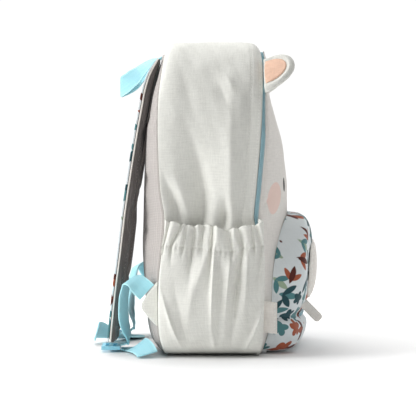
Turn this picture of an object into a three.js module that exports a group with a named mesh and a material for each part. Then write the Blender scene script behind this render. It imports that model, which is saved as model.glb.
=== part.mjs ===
// A small child's backpack with two ears, standing on its base with its straps hanging behind it.
// Millimetres. +Z is up, the front of the bag faces -Y and the wearer's left is -X.
// The origin is the middle of the base, on the surface that the bag stands on.

import * as THREE from "three";
import { mergeVertices } from "three/addons/utils/BufferGeometryUtils.js";

const CANVAS = 2; // wall of the bag's cloth
const GAP = 0.3; // room left at a seam between two pieces
const PANEL_GAP = 0.8; // the same round a panel, whose seam line is curved
const SIDES = { left: -1, right: 1 };

// The seam line round the bag as it is seen from the front.
const BODY = { halfWidth: 112, height: 294, topRadius: 80, baseRadius: 24, baseSeam: 8 };

// Depth of the bag by height: where the side band ends at the back and at the front,
// and how far the middle of the band stands out past its two edges. The power flattens its middle.
const BAND_POWER = 3.6;
const BAND_ROWS = [
  { z: 0, back: 41, front: -43.5, crown: 0 },
  { z: 20, back: 46.5, front: -46, crown: 2 },
  { z: 45, back: 48, front: -46.5, crown: 4 },
  { z: 75, back: 47, front: -46, crown: 4 },
  { z: 130, back: 41.5, front: -43.5, crown: 2 },
  { z: 160, back: 45.5, front: -46, crown: 3 },
  { z: 200, back: 47.5, front: -49.5, crown: 4 },
  { z: 245, back: 47.5, front: -52.3, crown: 6.5 },
  { z: 275, back: 44.5, front: -53.3, crown: 9 },
  { z: 294, back: 42, front: -52, crown: 10 },
];

// Long folds in the two sides of the band: middle, slope of y over z, half width, half length, depth.
const SIDE_FOLDS = [
  { y: 7, z: 165, lean: 0.22, width: 8, length: 42, depth: 3.5 },
  { y: 22, z: 172, lean: 0.1, width: 9, length: 34, depth: -5 },
  { y: -33, z: 178, lean: -0.05, width: 6, length: 52, depth: -4 },
  { y: -19, z: 228, lean: 0.34, width: 7, length: 30, depth: -3 },
  { y: 33, z: 148, lean: 0.4, width: 6, length: 20, depth: -3 },
];

const ZIP = { width: 4.2, thickness: 1.6, coil: 0.8, sink: 0.2, end: 123, fade: 12 };

// Middle line of the domed front and of the padded back, by height.
const FRONT_ROWS = [
  { z: 0, y: -54.5 },
  { z: 8, y: -61 },
  { z: 25, y: -71 },
  { z: 60, y: -78.5 },
  { z: 137, y: -80 },
  { z: 172, y: -78.5 },
  { z: 197, y: -75.5 },
  { z: 227, y: -69.5 },
  { z: 254, y: -63.5 },
  { z: 278, y: -60.6 },
  { z: 294, y: -59.4 },
];
const BACK_ROWS = [
  { z: 0, y: 46 },
  { z: 15, y: 55 },
  { z: 32, y: 59 },
  { z: 70, y: 62 },
  { z: 100, y: 63.8 },
  { z: 125, y: 63.3 },
  { z: 178, y: 61.8 },
  { z: 212, y: 60 },
  { z: 238, y: 56.6 },
  { z: 254, y: 53.6 },
  { z: 272, y: 48.6 },
  { z: 294, y: 45 },
];
const BACK_RIM = 2.2;
const BACK_PAD = 9;
const DOME_POWER = 2;
const PAD_POWER = 5;

// The pouch on the front: its arched seam on the front panel, its face by height and its corner round.
const POUCH = {
  halfWidth: 92,
  bottom: 1.5,
  top: 133.5,
  topRadius: 76,
  bottomRadius: 14,
  seamGap: 0.9,
  sideFall: 14,
};
const POUCH_ROWS = [
  { z: 1.5, lift: 0, face: -88 },
  { z: 1.2, lift: 0.5, face: -88 },
  { z: 2.5, lift: 0.87, face: -90 },
  { z: 8, lift: 1, face: -94 },
  { z: 18, lift: 1, face: -98 },
  { z: 27, lift: 1, face: -98.5 },
  { z: 35.5, lift: 1, face: -93.5 },
  { z: 44, lift: 1, face: -98.5 },
  { z: 58, lift: 1, face: -102 },
  { z: 78, lift: 1, face: -104 },
  { z: 100, lift: 1, face: -104 },
  { z: 115, lift: 1, face: -103 },
  { z: 126, lift: 0.97, face: -100.5 },
  { z: 132, lift: 0.82, face: -98 },
  { z: 134, lift: 0.42, face: -95 },
  { z: 133.5, lift: 0, face: -94 },
];
const POUCH_FACE = POUCH_ROWS.slice(2, 14);
const POUCH_COLUMNS = [
  { across: -1, lift: 0 },
  { across: -1, lift: 0.36 },
  { across: -0.99, lift: 0.7 },
  { across: -0.95, lift: 0.92 },
  { across: -0.85, lift: 1 },
  { across: -0.62, lift: 1 },
  { across: -0.32, lift: 1 },
  { across: 0, lift: 1 },
];
// The filled patch is an oval above its middle and fuller below it, by a power.
const PATCH = { z: 78, halfWidth: 55, halfHeight: 29.5, lowerPower: 4, edge: 1.6, puff: 4, gap: 0.95 };
const POUCH_ZIP = { z: 35.5, halfWidth: 72, width: 4.6, thickness: 1.4, gap: 1.9 };
const PULL = { x: -60, z: 45, length: 24, width: 10, thickness: 2.4, gap: 1.8, sway: 3 };

// The gathered pouch on each side: its bulge by height, its bend across, and its pleats.
const SIDE_POUCH = { bottom: 9, top: 129.5, sag: 11, wall: 2, gap: 0.95, backInset: 0.5, frontReach: 3 };
const SIDE_POUCH_ROWS = [
  { up: 0, lift: 0.4 },
  { up: 0.07, lift: 6 },
  { up: 0.22, lift: 12 },
  { up: 0.45, lift: 16 },
  { up: 0.68, lift: 14 },
  { up: 0.82, lift: 11.5 },
  { up: 0.9, lift: 11.5 },
  { up: 1, lift: 12.5 },
];
const SIDE_POUCH_BEND = [
  { share: 0, across: 0, lift: 0 },
  { share: 0.05, across: 0, lift: 0.5 },
  { share: 0.12, across: 0.02, lift: 0.85 },
  { share: 0.3, across: 0.22, lift: 0.98 },
  { share: 0.5, across: 0.47, lift: 1 },
  { share: 0.7, across: 0.72, lift: 0.98 },
  { share: 0.88, across: 0.97, lift: 0.85 },
  { share: 0.95, across: 1.02, lift: 0.5 },
  { share: 1, across: 0.98, lift: 0 },
];
const PLEATS = [
  { at: 0.14, width: 0.024, depth: 2.4, reach: 0.35 },
  { at: 0.23, width: 0.022, depth: 2.8, reach: 0.3 },
  { at: 0.33, width: 0.026, depth: 3.2, reach: 0.5 },
  { at: 0.44, width: 0.026, depth: 3, reach: 0.3 },
  { at: 0.55, width: 0.024, depth: 3.2, reach: 0.35 },
  { at: 0.65, width: 0.026, depth: 3.6, reach: 0.65 },
  { at: 0.76, width: 0.024, depth: 3.2, reach: 0.4 },
  { at: 0.86, width: 0.022, depth: 2.4, reach: 0.35 },
];

// An ear stands on the front seam at one height and leans outwards by an angle in radians.
const EAR = {
  seamHeight: 268.3,
  halfBase: 20,
  length: 30,
  outward: 0.21,
  skew: 0.35,
  rim: 4,
  puff: 5,
  cup: 3,
  gap: 0.7,
};
const EAR_LINING = { halfBase: 0.66, start: 0.05, end: 0.64, thickness: 1.4, gap: 0.7 };

// Shoulder straps, wearer's right: middle line of the padding from the top seam down to the lower end,
// and the share of its full thickness, which is sewn flat at the top.
const STRAP = { width: 46, thickness: 8, corner: 2.2, crown: 0.6, facing: 1.2, edge: 0.6, gap: 0.6 };
const STRAP_ROWS = [
  { x: 46, y: 48.4, z: 285, thick: 0.35 },
  { x: 46.5, y: 52, z: 277.5, thick: 0.6 },
  { x: 47.8, y: 55.9, z: 268, thick: 0.85 },
  { x: 49.5, y: 59.7, z: 254, thick: 1 },
  { x: 51.5, y: 62.6, z: 238, thick: 1 },
  { x: 55, y: 67.2, z: 212, thick: 1 },
  { x: 58.5, y: 73.3, z: 173, thick: 1 },
  { x: 61, y: 78.4, z: 138, thick: 1 },
  { x: 62, y: 83.9, z: 92, thick: 1 },
  { x: 62, y: 88.1, z: 60, thick: 1 },
  { x: 62, y: 91.4, z: 28, thick: 1 },
  { x: 62, y: 93, z: 11, thick: 1 },
];
const STRAP_STEPS = 20;
const SLIDER = { x: 62, y: 95, z: 2.6, width: 30, depth: 18, height: 3.6, bar: 3.5 };

// Webbing: middle line and the direction of its width at each row.
const WEBBING = { width: 20, thickness: 1.6 };
const WEBBING_ROWS = [
  { x: 114.4, y: 58.2, z: 62, ax: 0, ay: -0.54, az: 0.84 },
  { x: 113.6, y: 63.4, z: 66.8, ax: -0.25, ay: -0.5, az: 0.8 },
  { x: 110, y: 70, z: 73, ax: -0.75, ay: -0.35, az: 0.5 },
  { x: 104, y: 76.5, z: 72, ax: -0.95, ay: -0.3, az: 0.15 },
  { x: 97, y: 80.5, z: 60, ax: -0.93, ay: -0.36, az: 0 },
  { x: 89, y: 82, z: 42, ax: -0.93, ay: -0.36, az: 0 },
  { x: 78, y: 80.5, z: 28, ax: -0.95, ay: -0.3, az: 0 },
  { x: 68, y: 78, z: 18, ax: -0.97, ay: -0.15, az: 0 },
  { x: 62.4, y: 77.8, z: 11.5, ax: -1, ay: 0, az: 0 },
  { x: 62, y: 81, z: 7.6, ax: -1, ay: 0, az: 0 },
  { x: 62, y: 85.5, z: 6.6, ax: -1, ay: 0, az: 0 },
];
const LEFT_TAIL_ROWS = [
  { x: -62, y: 85.5, z: 2.4, ax: 1, ay: 0, az: 0 },
  { x: -62, y: 81, z: 1.9, ax: 1, ay: 0, az: 0 },
  { x: -64.5, y: 76, z: 2.6, ax: 0.85, ay: -0.4, az: 0.05 },
  { x: -73, y: 71.5, z: 5, ax: 0.5, ay: -0.75, az: 0.3 },
  { x: -90, y: 68, z: 8.6, ax: 0.1, ay: -0.75, az: 0.62 },
  { x: -106, y: 63.5, z: 9, ax: 0, ay: -0.72, az: 0.62 },
  { x: -118, y: 59.5, z: 6.6, ax: 0.1, ay: -0.8, az: 0.45 },
  { x: -126, y: 57.5, z: 4.4, ax: 0.2, ay: -0.9, az: 0.25 },
];
const RIGHT_TAIL_ROWS = [
  { x: 62, y: 85.5, z: 2.4, ax: 1, ay: 0, az: 0 },
  { x: 62, y: 81, z: 1.6, ax: 1, ay: 0, az: 0 },
  { x: 57, y: 76.5, z: 1.6, ax: 0.6, ay: -0.8, az: 0 },
  { x: 44, y: 77.5, z: 2, ax: -0.1, ay: -1, az: 0.05 },
  { x: 28, y: 88, z: 4, ax: -0.5, ay: -0.85, az: 0.15 },
  { x: 12, y: 101, z: 9, ax: -0.6, ay: -0.6, az: 0.5 },
  { x: 0, y: 110, z: 13, ax: -0.45, ay: -0.4, az: 0.8 },
  { x: -12, y: 112, z: 14, ax: -0.2, ay: -0.2, az: 0.95 },
];
const HANDLE_ROWS = [
  { x: -12, y: 47.7, z: 289.5, ax: 1, ay: 0, az: 0 },
  { x: -13.5, y: 55, z: 287, ax: 0.95, ay: -0.1, az: 0.25 },
  { x: -18, y: 67.5, z: 276.5, ax: 0.6, ay: -0.3, az: 0.75 },
  { x: -18, y: 78, z: 267, ax: 0.2, ay: -0.2, az: 0.95 },
  { x: -11, y: 86, z: 261.5, ax: 0, ay: 0, az: 1 },
  { x: 0, y: 88, z: 260.5, ax: 0, ay: 0, az: 1 },
];
const STRAP_TAB = { y: 49.2, top: 72, tip: 49, bottom: 30, reach: 14.5, round: 3, thickness: 3.6 };
const LABEL = { bottom: 24, top: 54, start: 52, end: 64, thickness: 1.5, gap: 0.5, droop: 2, wave: 0.8 };
const ZIP_SLIDER = { z: 142, length: 10, width: 6.5, height: 2.6, pull: 20, plate: 1.4, lift: 1.2 };

const MATERIALS = {
  canvas: new THREE.MeshStandardMaterial({ color: 0xe6e6e0, roughness: 0.9 }),
  back_cloth: new THREE.MeshStandardMaterial({ color: 0xcfc9c5, roughness: 0.92 }),
  print: new THREE.MeshStandardMaterial({ color: 0xc3ced2, roughness: 0.9 }),
  cream: new THREE.MeshStandardMaterial({ color: 0xe8e4d8, roughness: 0.9 }),
  peach: new THREE.MeshStandardMaterial({ color: 0xf4cdb2, roughness: 0.92 }),
  strap_grey: new THREE.MeshStandardMaterial({ color: 0x6a6462, roughness: 0.95 }),
  webbing_blue: new THREE.MeshStandardMaterial({ color: 0x7fcfe6, roughness: 0.7 }),
  zip_teal: new THREE.MeshStandardMaterial({ color: 0x4f8490, roughness: 0.7 }),
  slider_blue: new THREE.MeshStandardMaterial({ color: 0x58b4d8, roughness: 0.45 }),
};

// Value of one column of a table at a place, along a smooth curve through the rows.
function smooth(rows, key, column, place) {
  const last = rows.length - 1;
  const at = THREE.MathUtils.clamp(place, rows[0][key], rows[last][key]);
  let i = 0;
  while (i < last - 1 && rows[i + 1][key] < at) i += 1;
  const slope = (k) => {
    const before = rows[Math.max(k - 1, 0)];
    const after = rows[Math.min(k + 1, last)];
    return (after[column] - before[column]) / (after[key] - before[key]);
  };
  const span = rows[i + 1][key] - rows[i][key];
  const t = (at - rows[i][key]) / span;
  const start = (1 + 2 * t) * (1 - t) ** 2 * rows[i][column];
  const end = t * t * (3 - 2 * t) * rows[i + 1][column];
  const bend = t * (1 - t) ** 2 * slope(i) - t * t * (1 - t) * slope(i + 1);
  return start + end + bend * span;
}

// Closed geometry from a list of triangles, facing outwards, without those that shrink to a line.
function closedGeometry(corners) {
  const loose = new THREE.BufferGeometry().setFromPoints(corners);
  const merged = mergeVertices(loose, 1e-4);
  const index = merged.getIndex().array;
  const kept = [];
  for (let i = 0; i < index.length; i += 3) {
    const [a, b, c] = [index[i], index[i + 1], index[i + 2]];
    if (a !== b && b !== c && c !== a) kept.push([a, b, c]);
  }
  const places = merged.getAttribute("position");
  const point = (k) => new THREE.Vector3().fromBufferAttribute(places, k);
  const volumeOf = ([a, b, c]) => point(a).dot(point(b).cross(point(c)));
  const volume = kept.reduce((sum, triangle) => sum + volumeOf(triangle), 0);
  merged.setIndex(kept.flatMap(([a, b, c]) => (volume > 0 ? [a, b, c] : [a, c, b])));
  merged.computeVertexNormals();
  return merged;
}

// A solid between an outer and an inner face, each a function of two shares from 0 to 1.
// A looped sheet has no rim where its first column meets its last.
function sheetSolid(columns, rows, outerAt, innerAt, looped = false) {
  const corners = [];
  const quad = (a, b, c, d) => corners.push(a, b, c, a, c, d);
  const grid = (faceAt) => (i, j) => faceAt(i === columns && looped ? 0 : i / columns, j / rows);
  const outer = grid(outerAt);
  const inner = grid(innerAt);
  for (let i = 0; i < columns; i += 1) {
    for (let j = 0; j < rows; j += 1) {
      quad(outer(i, j), outer(i + 1, j), outer(i + 1, j + 1), outer(i, j + 1));
      quad(inner(i, j), inner(i, j + 1), inner(i + 1, j + 1), inner(i + 1, j));
    }
    quad(outer(i, 0), inner(i, 0), inner(i + 1, 0), outer(i + 1, 0));
    quad(outer(i, rows), outer(i + 1, rows), inner(i + 1, rows), inner(i, rows));
  }
  for (let j = 0; j < rows && !looped; j += 1) {
    quad(outer(0, j), outer(0, j + 1), inner(0, j + 1), inner(0, j));
    quad(outer(columns, j), inner(columns, j), inner(columns, j + 1), outer(columns, j + 1));
  }
  return closedGeometry(corners);
}

// A strip along a smooth path: its cross-section is a list of points (across, out from the face),
// and a row's share of full thickness, where it has one, draws the points out from the face together.
function stripSolid(rows, section, steps) {
  const curve = (x, y, z) => {
    const points = rows.map((row) => new THREE.Vector3(row[x], row[y], row[z]));
    return new THREE.CatmullRomCurve3(points);
  };
  const path = curve("x", "y", "z");
  const widths = curve("ax", "ay", "az");
  const thicknessAt = (share) => {
    const place = share * (rows.length - 1);
    const i = Math.min(Math.floor(place), rows.length - 2);
    return THREE.MathUtils.lerp(rows[i].thick ?? 1, rows[i + 1].thick ?? 1, place - i);
  };
  const rings = [];
  for (let k = 0; k <= steps; k += 1) {
    const along = path.getTangent(k / steps);
    const across = widths.getPoint(k / steps);
    across.addScaledVector(along, -across.dot(along)).normalize();
    const out = new THREE.Vector3().crossVectors(along, across);
    out.multiplyScalar(thicknessAt(k / steps));
    const middle = path.getPoint(k / steps);
    const place = ([a, b]) => middle.clone().addScaledVector(across, a).addScaledVector(out, b);
    rings.push(section.map(place));
  }
  const corners = [];
  for (let k = 0; k < steps; k += 1) {
    section.forEach((_, i) => {
      const next = (i + 1) % section.length;
      const [a, b, c, d] = [rings[k][i], rings[k][next], rings[k + 1][next], rings[k + 1][i]];
      corners.push(a, b, c, a, c, d);
    });
  }
  for (let i = 1; i < section.length - 1; i += 1) {
    corners.push(rings[0][0], rings[0][i + 1], rings[0][i]);
    corners.push(rings[steps][0], rings[steps][i], rings[steps][i + 1]);
  }
  return closedGeometry(corners);
}

function flatSection(width, thickness) {
  const [a, b] = [width / 2, thickness / 2];
  return [[-a, -b], [a, -b], [a, b], [-a, b]];
}

// The other side's rows: x and the sideways part of the width change sign.
const mirrored = (rows) => rows.map((row) => ({ ...row, x: -row.x, ax: -row.ax }));

function bodyOutline() {
  const { halfWidth, height, topRadius, baseRadius } = BODY;
  const [low, high] = [halfWidth - baseRadius, halfWidth - topRadius];
  const path = new THREE.Path();
  path.moveTo(0, 0);
  path.lineTo(-low, 0);
  path.absarc(-low, baseRadius, baseRadius, -Math.PI / 2, -Math.PI, true);
  path.lineTo(-halfWidth, height - topRadius);
  path.absarc(-high, height - topRadius, topRadius, Math.PI, Math.PI / 2, true);
  path.lineTo(high, height);
  path.absarc(high, height - topRadius, topRadius, Math.PI / 2, 0, true);
  path.lineTo(halfWidth, baseRadius);
  path.absarc(low, baseRadius, baseRadius, 0, -Math.PI / 2, true);
  path.lineTo(0, 0);
  return path;
}

const OUTLINE = bodyOutline();
const OUTLINE_LENGTH = OUTLINE.getLength();

// A point of the outline and its outward direction, at a share of its length.
function outlineAt(share) {
  const point = OUTLINE.getPoint(share);
  const tangent = OUTLINE.getTangent(share);
  return { x: point.x, z: point.y, nx: -tangent.y, nz: tangent.x };
}

// Share of the outline where its left side reaches a height, on the lower round or on the upright side.
function leftShareAt(z) {
  const { halfWidth, baseRadius } = BODY;
  const flat = halfWidth - baseRadius;
  const angle = Math.acos(THREE.MathUtils.clamp(1 - z / baseRadius, 0, 1));
  const round = angle * baseRadius;
  return (flat + round + Math.max(z - baseRadius, 0)) / OUTLINE_LENGTH;
}

// Half width of the bag's seam line at a height.
function halfWidthAt(z) {
  const { halfWidth, height, topRadius, baseRadius } = BODY;
  if (z < baseRadius) {
    return halfWidth - baseRadius + Math.sqrt(baseRadius ** 2 - (baseRadius - z) ** 2);
  }
  const rise = Math.max(z - (height - topRadius), 0);
  return halfWidth - topRadius + Math.sqrt(Math.max(topRadius ** 2 - rise ** 2, 0));
}

const backSeam = (z) => smooth(BAND_ROWS, "z", "back", z);
const frontSeam = (z) => smooth(BAND_ROWS, "z", "front", z) - ZIP.width - GAP;

// The band leaves room for the zip above the zip's end and reaches the front seam below it.
function bandFront(z) {
  const zipShare = THREE.MathUtils.smoothstep(z, ZIP.end - ZIP.fade, ZIP.end + ZIP.fade);
  return frontSeam(z) + (ZIP.width + GAP) * zipShare;
}

function sideFold(y, z) {
  const bump = ({ lean, width, length, depth, ...middle }) => {
    const away = (y - middle.y - lean * (z - middle.z)) / width;
    const along = (z - middle.z) / length;
    return depth * Math.exp(-away * away - along * along);
  };
  return SIDE_FOLDS.reduce((sum, fold) => sum + bump(fold), 0);
}

// How far the band stands out from the seam line, at a height and a share from back to front.
function bandStand(z, share) {
  const y = THREE.MathUtils.lerp(backSeam(z), bandFront(z), share);
  const flatten = 1 - Math.abs(2 * share - 1) ** BAND_POWER;
  return smooth(BAND_ROWS, "z", "crown", z) * flatten + sideFold(y, z) * flatten;
}

function bandPoint(outlineShare, share, depth) {
  const { x, z, nx, nz } = outlineAt(outlineShare);
  const y = THREE.MathUtils.lerp(backSeam(z), bandFront(z), share);
  const stand = bandStand(z, share) - depth;
  return new THREE.Vector3(x + nx * stand, y, z + nz * stand);
}

function sideBand() {
  const start = leftShareAt(BODY.baseSeam);
  const at = (u, v, depth) => bandPoint(start + u * (1 - 2 * start), v, depth);
  return sheetSolid(52, 9, (u, v) => at(u, v, 0), (u, v) => at(u, v, CANVAS));
}

function basePanel() {
  const end = leftShareAt(BODY.baseSeam) - GAP / OUTLINE_LENGTH;
  const at = (u, v, depth) => {
    const { x, z, nx, nz } = outlineAt((1 + (2 * u - 1) * end) % 1);
    const y = THREE.MathUtils.lerp(backSeam(z), frontSeam(z), v);
    return new THREE.Vector3(x - nx * depth, y, z - nz * depth);
  };
  return sheetSolid(22, 3, (u, v) => at(u, v, 0), (u, v) => at(u, v, CANVAS));
}

function mainZip() {
  const start = leftShareAt(ZIP.end);
  const at = (u, v, depth) => {
    const { x, z, nx, nz } = outlineAt(start + u * (1 - 2 * start));
    const y = THREE.MathUtils.lerp(bandFront(z) - GAP, frontSeam(z), v);
    const coil = ZIP.coil * Math.sin(Math.PI * v) - ZIP.sink;
    return new THREE.Vector3(x + nx * (coil - depth), y, z + nz * (coil - depth));
  };
  return sheetSolid(48, 2, (u, v) => at(u, v, 0), (u, v) => at(u, v, ZIP.thickness));
}

// Height of a row of the front or back panel: even steps along the upright side and its two rounds.
function panelHeight(share) {
  const start = (BODY.halfWidth - BODY.baseRadius) / OUTLINE_LENGTH;
  const end = 0.5 - (BODY.halfWidth - BODY.topRadius) / OUTLINE_LENGTH;
  return outlineAt(THREE.MathUtils.lerp(start, end, share)).z;
}

// Outer face of the front panel at a share across from -1 to 1 and a height.
function frontFace(across, z) {
  const edge = frontSeam(z) - PANEL_GAP - CANVAS;
  const middle = smooth(FRONT_ROWS, "z", "y", z);
  return THREE.MathUtils.lerp(edge, middle, 1 - Math.abs(across) ** DOME_POWER);
}

function frontPanel() {
  const at = (u, v, depth) => {
    const z = panelHeight(v);
    const across = 2 * u - 1;
    return new THREE.Vector3(across * halfWidthAt(z), frontFace(across, z) + depth, z);
  };
  return sheetSolid(14, 18, (u, v) => at(u, v, 0), (u, v) => at(u, v, CANVAS));
}

function backPanel() {
  const at = (u, v, outer) => {
    const z = panelHeight(v);
    const across = 2 * u - 1;
    const seam = backSeam(z) + PANEL_GAP;
    const pad = 1 - Math.abs(across) ** PAD_POWER;
    const middle = smooth(BACK_ROWS, "z", "y", z);
    const rim = outer ? seam + BACK_RIM : seam;
    const bulge = outer ? middle : Math.max(middle - BACK_PAD, seam);
    return new THREE.Vector3(across * halfWidthAt(z), THREE.MathUtils.lerp(rim, bulge, pad), z);
  };
  return sheetSolid(10, 15, (u, v) => at(u, v, true), (u, v) => at(u, v, false));
}

// Half width of the front pouch's arched seam at a height.
function pouchHalfWidth(z) {
  const { halfWidth, bottom, top, topRadius, bottomRadius } = POUCH;
  const inset = (radius, away) => {
    const within = THREE.MathUtils.clamp(away, 0, radius);
    return radius - Math.sqrt(radius ** 2 - within ** 2);
  };
  const below = inset(bottomRadius, bottom + bottomRadius - z);
  const above = inset(topRadius, z - (top - topRadius));
  return halfWidth - below - above;
}

// Outer face of the front pouch at a place on it.
function pouchFace(x, z) {
  return smooth(POUCH_FACE, "z", "face", z) + POUCH.sideFall * (x / POUCH.halfWidth) ** 2;
}

function frontPocket() {
  const half = POUCH_COLUMNS.length - 1;
  const columns = 2 * half;
  const rows = POUCH_ROWS.length - 1;
  const at = (u, v, depth) => {
    const i = Math.round(u * columns);
    const column = POUCH_COLUMNS[Math.min(i, columns - i)];
    const row = POUCH_ROWS[Math.round(v * rows)];
    const across = i > half ? -column.across : column.across;
    const up = (row.z - POUCH.bottom) / (POUCH.top - POUCH.bottom);
    const x = across * (pouchHalfWidth(row.z) - depth);
    const z = row.z + depth * (1 - 2 * up);
    const seam = frontFace(x / halfWidthAt(z), z) - POUCH.seamGap;
    const face = row.face + POUCH.sideFall * (x / POUCH.halfWidth) ** 2 + depth;
    return new THREE.Vector3(x, THREE.MathUtils.lerp(seam, face, column.lift * row.lift), z);
  };
  return sheetSolid(columns, rows, (u, v) => at(u, v, 0), (u, v) => at(u, v, CANVAS));
}

function pocketPatch() {
  const at = (u, v, outer) => {
    const cos = Math.cos(2 * Math.PI * u);
    const sin = Math.sin(2 * Math.PI * u);
    const power = sin < 0 ? 2 / PATCH.lowerPower : 1;
    const x = PATCH.halfWidth * (1 - v) * Math.sign(cos) * Math.abs(cos) ** power;
    const z = PATCH.z + PATCH.halfHeight * (1 - v) * Math.sign(sin) * Math.abs(sin) ** power;
    const pad = PATCH.edge + PATCH.puff * Math.sqrt(1 - (1 - v) ** 3);
    return new THREE.Vector3(x, pouchFace(x, z) - PATCH.gap - (outer ? pad : 0), z);
  };
  return sheetSolid(18, 4, (u, v) => at(u, v, true), (u, v) => at(u, v, false), true);
}

function pocketZip() {
  const at = (u, v, depth) => {
    const x = (2 * u - 1) * POUCH_ZIP.halfWidth;
    const z = POUCH_ZIP.z + (v - 0.5) * POUCH_ZIP.width;
    return new THREE.Vector3(x, pouchFace(x, POUCH_ZIP.z) - POUCH_ZIP.gap - depth, z);
  };
  return sheetSolid(10, 1, (u, v) => at(u, v, POUCH_ZIP.thickness), (u, v) => at(u, v, 0));
}

function pocketPull() {
  const { x, z, length } = PULL;
  const y = pouchFace(x, z) - PULL.gap;
  const rows = [0, 0.5, 1].map((share) => ({
    x: x - PULL.sway * share,
    y: y - length * Math.SQRT1_2 * share,
    z: z - length * Math.SQRT1_2 * share,
    ax: 0,
    ay: Math.SQRT1_2,
    az: -Math.SQRT1_2,
  }));
  return stripSolid(rows, flatSection(PULL.width, PULL.thickness), 4);
}

function sidePouch(side) {
  const at = (u, v, depth) => {
    const top = SIDE_POUCH.top - SIDE_POUCH.sag * Math.sin(Math.PI * u) ** 1.5;
    const z = THREE.MathUtils.lerp(SIDE_POUCH.bottom, top, v);
    const across = smooth(SIDE_POUCH_BEND, "share", "across", u);
    const reach = SIDE_POUCH.frontReach * THREE.MathUtils.smoothstep(v, 0.25, 0.9);
    const y = THREE.MathUtils.lerp(backSeam(z) - SIDE_POUCH.backInset, frontSeam(z) - reach, across);
    const pleat = PLEATS.reduce((sum, row) => {
      const fade = THREE.MathUtils.smoothstep(v, 1 - row.reach, 1);
      return sum - row.depth * fade * Math.exp(-(((u - row.at) / row.width) ** 2));
    }, 0);
    const bend = smooth(SIDE_POUCH_BEND, "share", "lift", u);
    const lift = (smooth(SIDE_POUCH_ROWS, "up", "lift", v) + pleat) * bend;
    const share = THREE.MathUtils.clamp(across, 0, 1);
    const stand = halfWidthAt(z) + bandStand(z, share) + SIDE_POUCH.gap + lift + depth;
    return new THREE.Vector3(side * stand, y, z);
  };
  return sheetSolid(32, 8, (u, v) => at(u, v, SIDE_POUCH.wall), (u, v) => at(u, v, 0));
}

// A point of an ear: share out from its base, share across from -1 to 1, height off its middle sheet.
function earPoint(side, out, across, off) {
  const { halfWidth: bodyHalf, height, topRadius } = BODY;
  const middle = new THREE.Vector3(side * (bodyHalf - topRadius), 0, height - topRadius);
  const angle = Math.asin((EAR.seamHeight - middle.z) / topRadius);
  const [cos, sin] = [Math.cos(EAR.outward), Math.sin(EAR.outward)];
  const normal = new THREE.Vector3(side * Math.cos(angle), 0, Math.sin(angle));
  const upward = new THREE.Vector3(-side * Math.sin(angle), 0, Math.cos(angle));
  const forward = new THREE.Vector3(0, -1, 0);
  const axis = forward.clone().multiplyScalar(cos).addScaledVector(normal, sin);
  const face = normal.clone().multiplyScalar(cos).addScaledVector(forward, -sin);
  const halfWidth = EAR.halfBase * Math.sqrt(Math.max(1 - out ** 2.2, 0));
  const sideways = across * halfWidth;
  const roundBack = (sideways ** 2 / (2 * topRadius)) * (1 - out);
  const cup = (EAR.cup * across ** 2 * out * halfWidth) / EAR.halfBase;
  const base = middle.addScaledVector(normal, topRadius + EAR.rim / 2 + EAR.gap);
  base.y = frontSeam(EAR.seamHeight) + 1;
  return base
    .addScaledVector(axis, out * EAR.length)
    .addScaledVector(upward, sideways + EAR.skew * out * EAR.length)
    .addScaledVector(face, cup - roundBack + off);
}

// Half thickness of an ear: an even rim and a filled middle.
function earHalf(out, across) {
  const fill = Math.sqrt(out) * (1 - across ** 2) * (1 - out ** 3);
  return (EAR.rim + EAR.puff * fill) / 2;
}

function ear(side) {
  const at = (u, v, sign) => earPoint(side, v, 2 * u - 1, sign * earHalf(v, 2 * u - 1));
  return sheetSolid(8, 8, (u, v) => at(u, v, 1), (u, v) => at(u, v, -1));
}

function earLining(side) {
  const at = (u, v, lift) => {
    const out = THREE.MathUtils.lerp(EAR_LINING.start, EAR_LINING.end, v);
    const taper = Math.sqrt(Math.max(1 - (v * 0.96) ** 2.4, 0));
    const across = (2 * u - 1) * EAR_LINING.halfBase * taper;
    return earPoint(side, out, across, earHalf(out, across) + EAR_LINING.gap + lift);
  };
  return sheetSolid(6, 6, (u, v) => at(u, v, EAR_LINING.thickness), (u, v) => at(u, v, 0));
}

// Rounded strap section: a flattened ring, wider than it is thick.
function paddedSection(width, thickness) {
  const { corner, crown } = STRAP;
  const [a, b] = [width / 2, thickness / 2];
  return [
    [-a, -b + corner], [-a + corner, -b], [0, -b - crown], [a - corner, -b], [a, -b + corner],
    [a, b - corner], [a - corner, b], [-a + corner, b], [-a, b - corner],
  ];
}

function strapRows(side) {
  return STRAP_ROWS.map((row) => ({ ...row, x: side * row.x, ax: -1, ay: 0, az: 0 }));
}

function strapPad(side) {
  return stripSolid(strapRows(side), paddedSection(STRAP.width, STRAP.thickness), STRAP_STEPS);
}

function strapFacing(side) {
  const inner = STRAP.thickness / 2 + STRAP.gap;
  const outer = inner + STRAP.facing;
  const edge = STRAP.width / 2 + STRAP.edge;
  const section = [[-edge, inner], [edge, inner], [edge, outer], [-edge, outer]];
  return stripSolid(strapRows(side), section, STRAP_STEPS);
}

// Ladder slider: a flat frame with a bar across its middle.
function strapSlider(side) {
  const { width, depth, height, bar } = SLIDER;
  const frame = new THREE.Shape();
  frame.moveTo(-width / 2, -depth / 2);
  frame.lineTo(width / 2, -depth / 2);
  frame.lineTo(width / 2, depth / 2);
  frame.lineTo(-width / 2, depth / 2);
  const slot = (depth - 3 * bar) / 2;
  for (const low of [-depth / 2 + bar, bar / 2]) {
    const hole = new THREE.Path();
    hole.moveTo(-width / 2 + bar, low);
    hole.lineTo(-width / 2 + bar, low + slot);
    hole.lineTo(width / 2 - bar, low + slot);
    hole.lineTo(width / 2 - bar, low);
    frame.holes.push(hole);
  }
  const solid = new THREE.ExtrudeGeometry(frame, { depth: height, bevelEnabled: false });
  return solid.translate(side * SLIDER.x, SLIDER.y, SLIDER.z);
}

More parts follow.
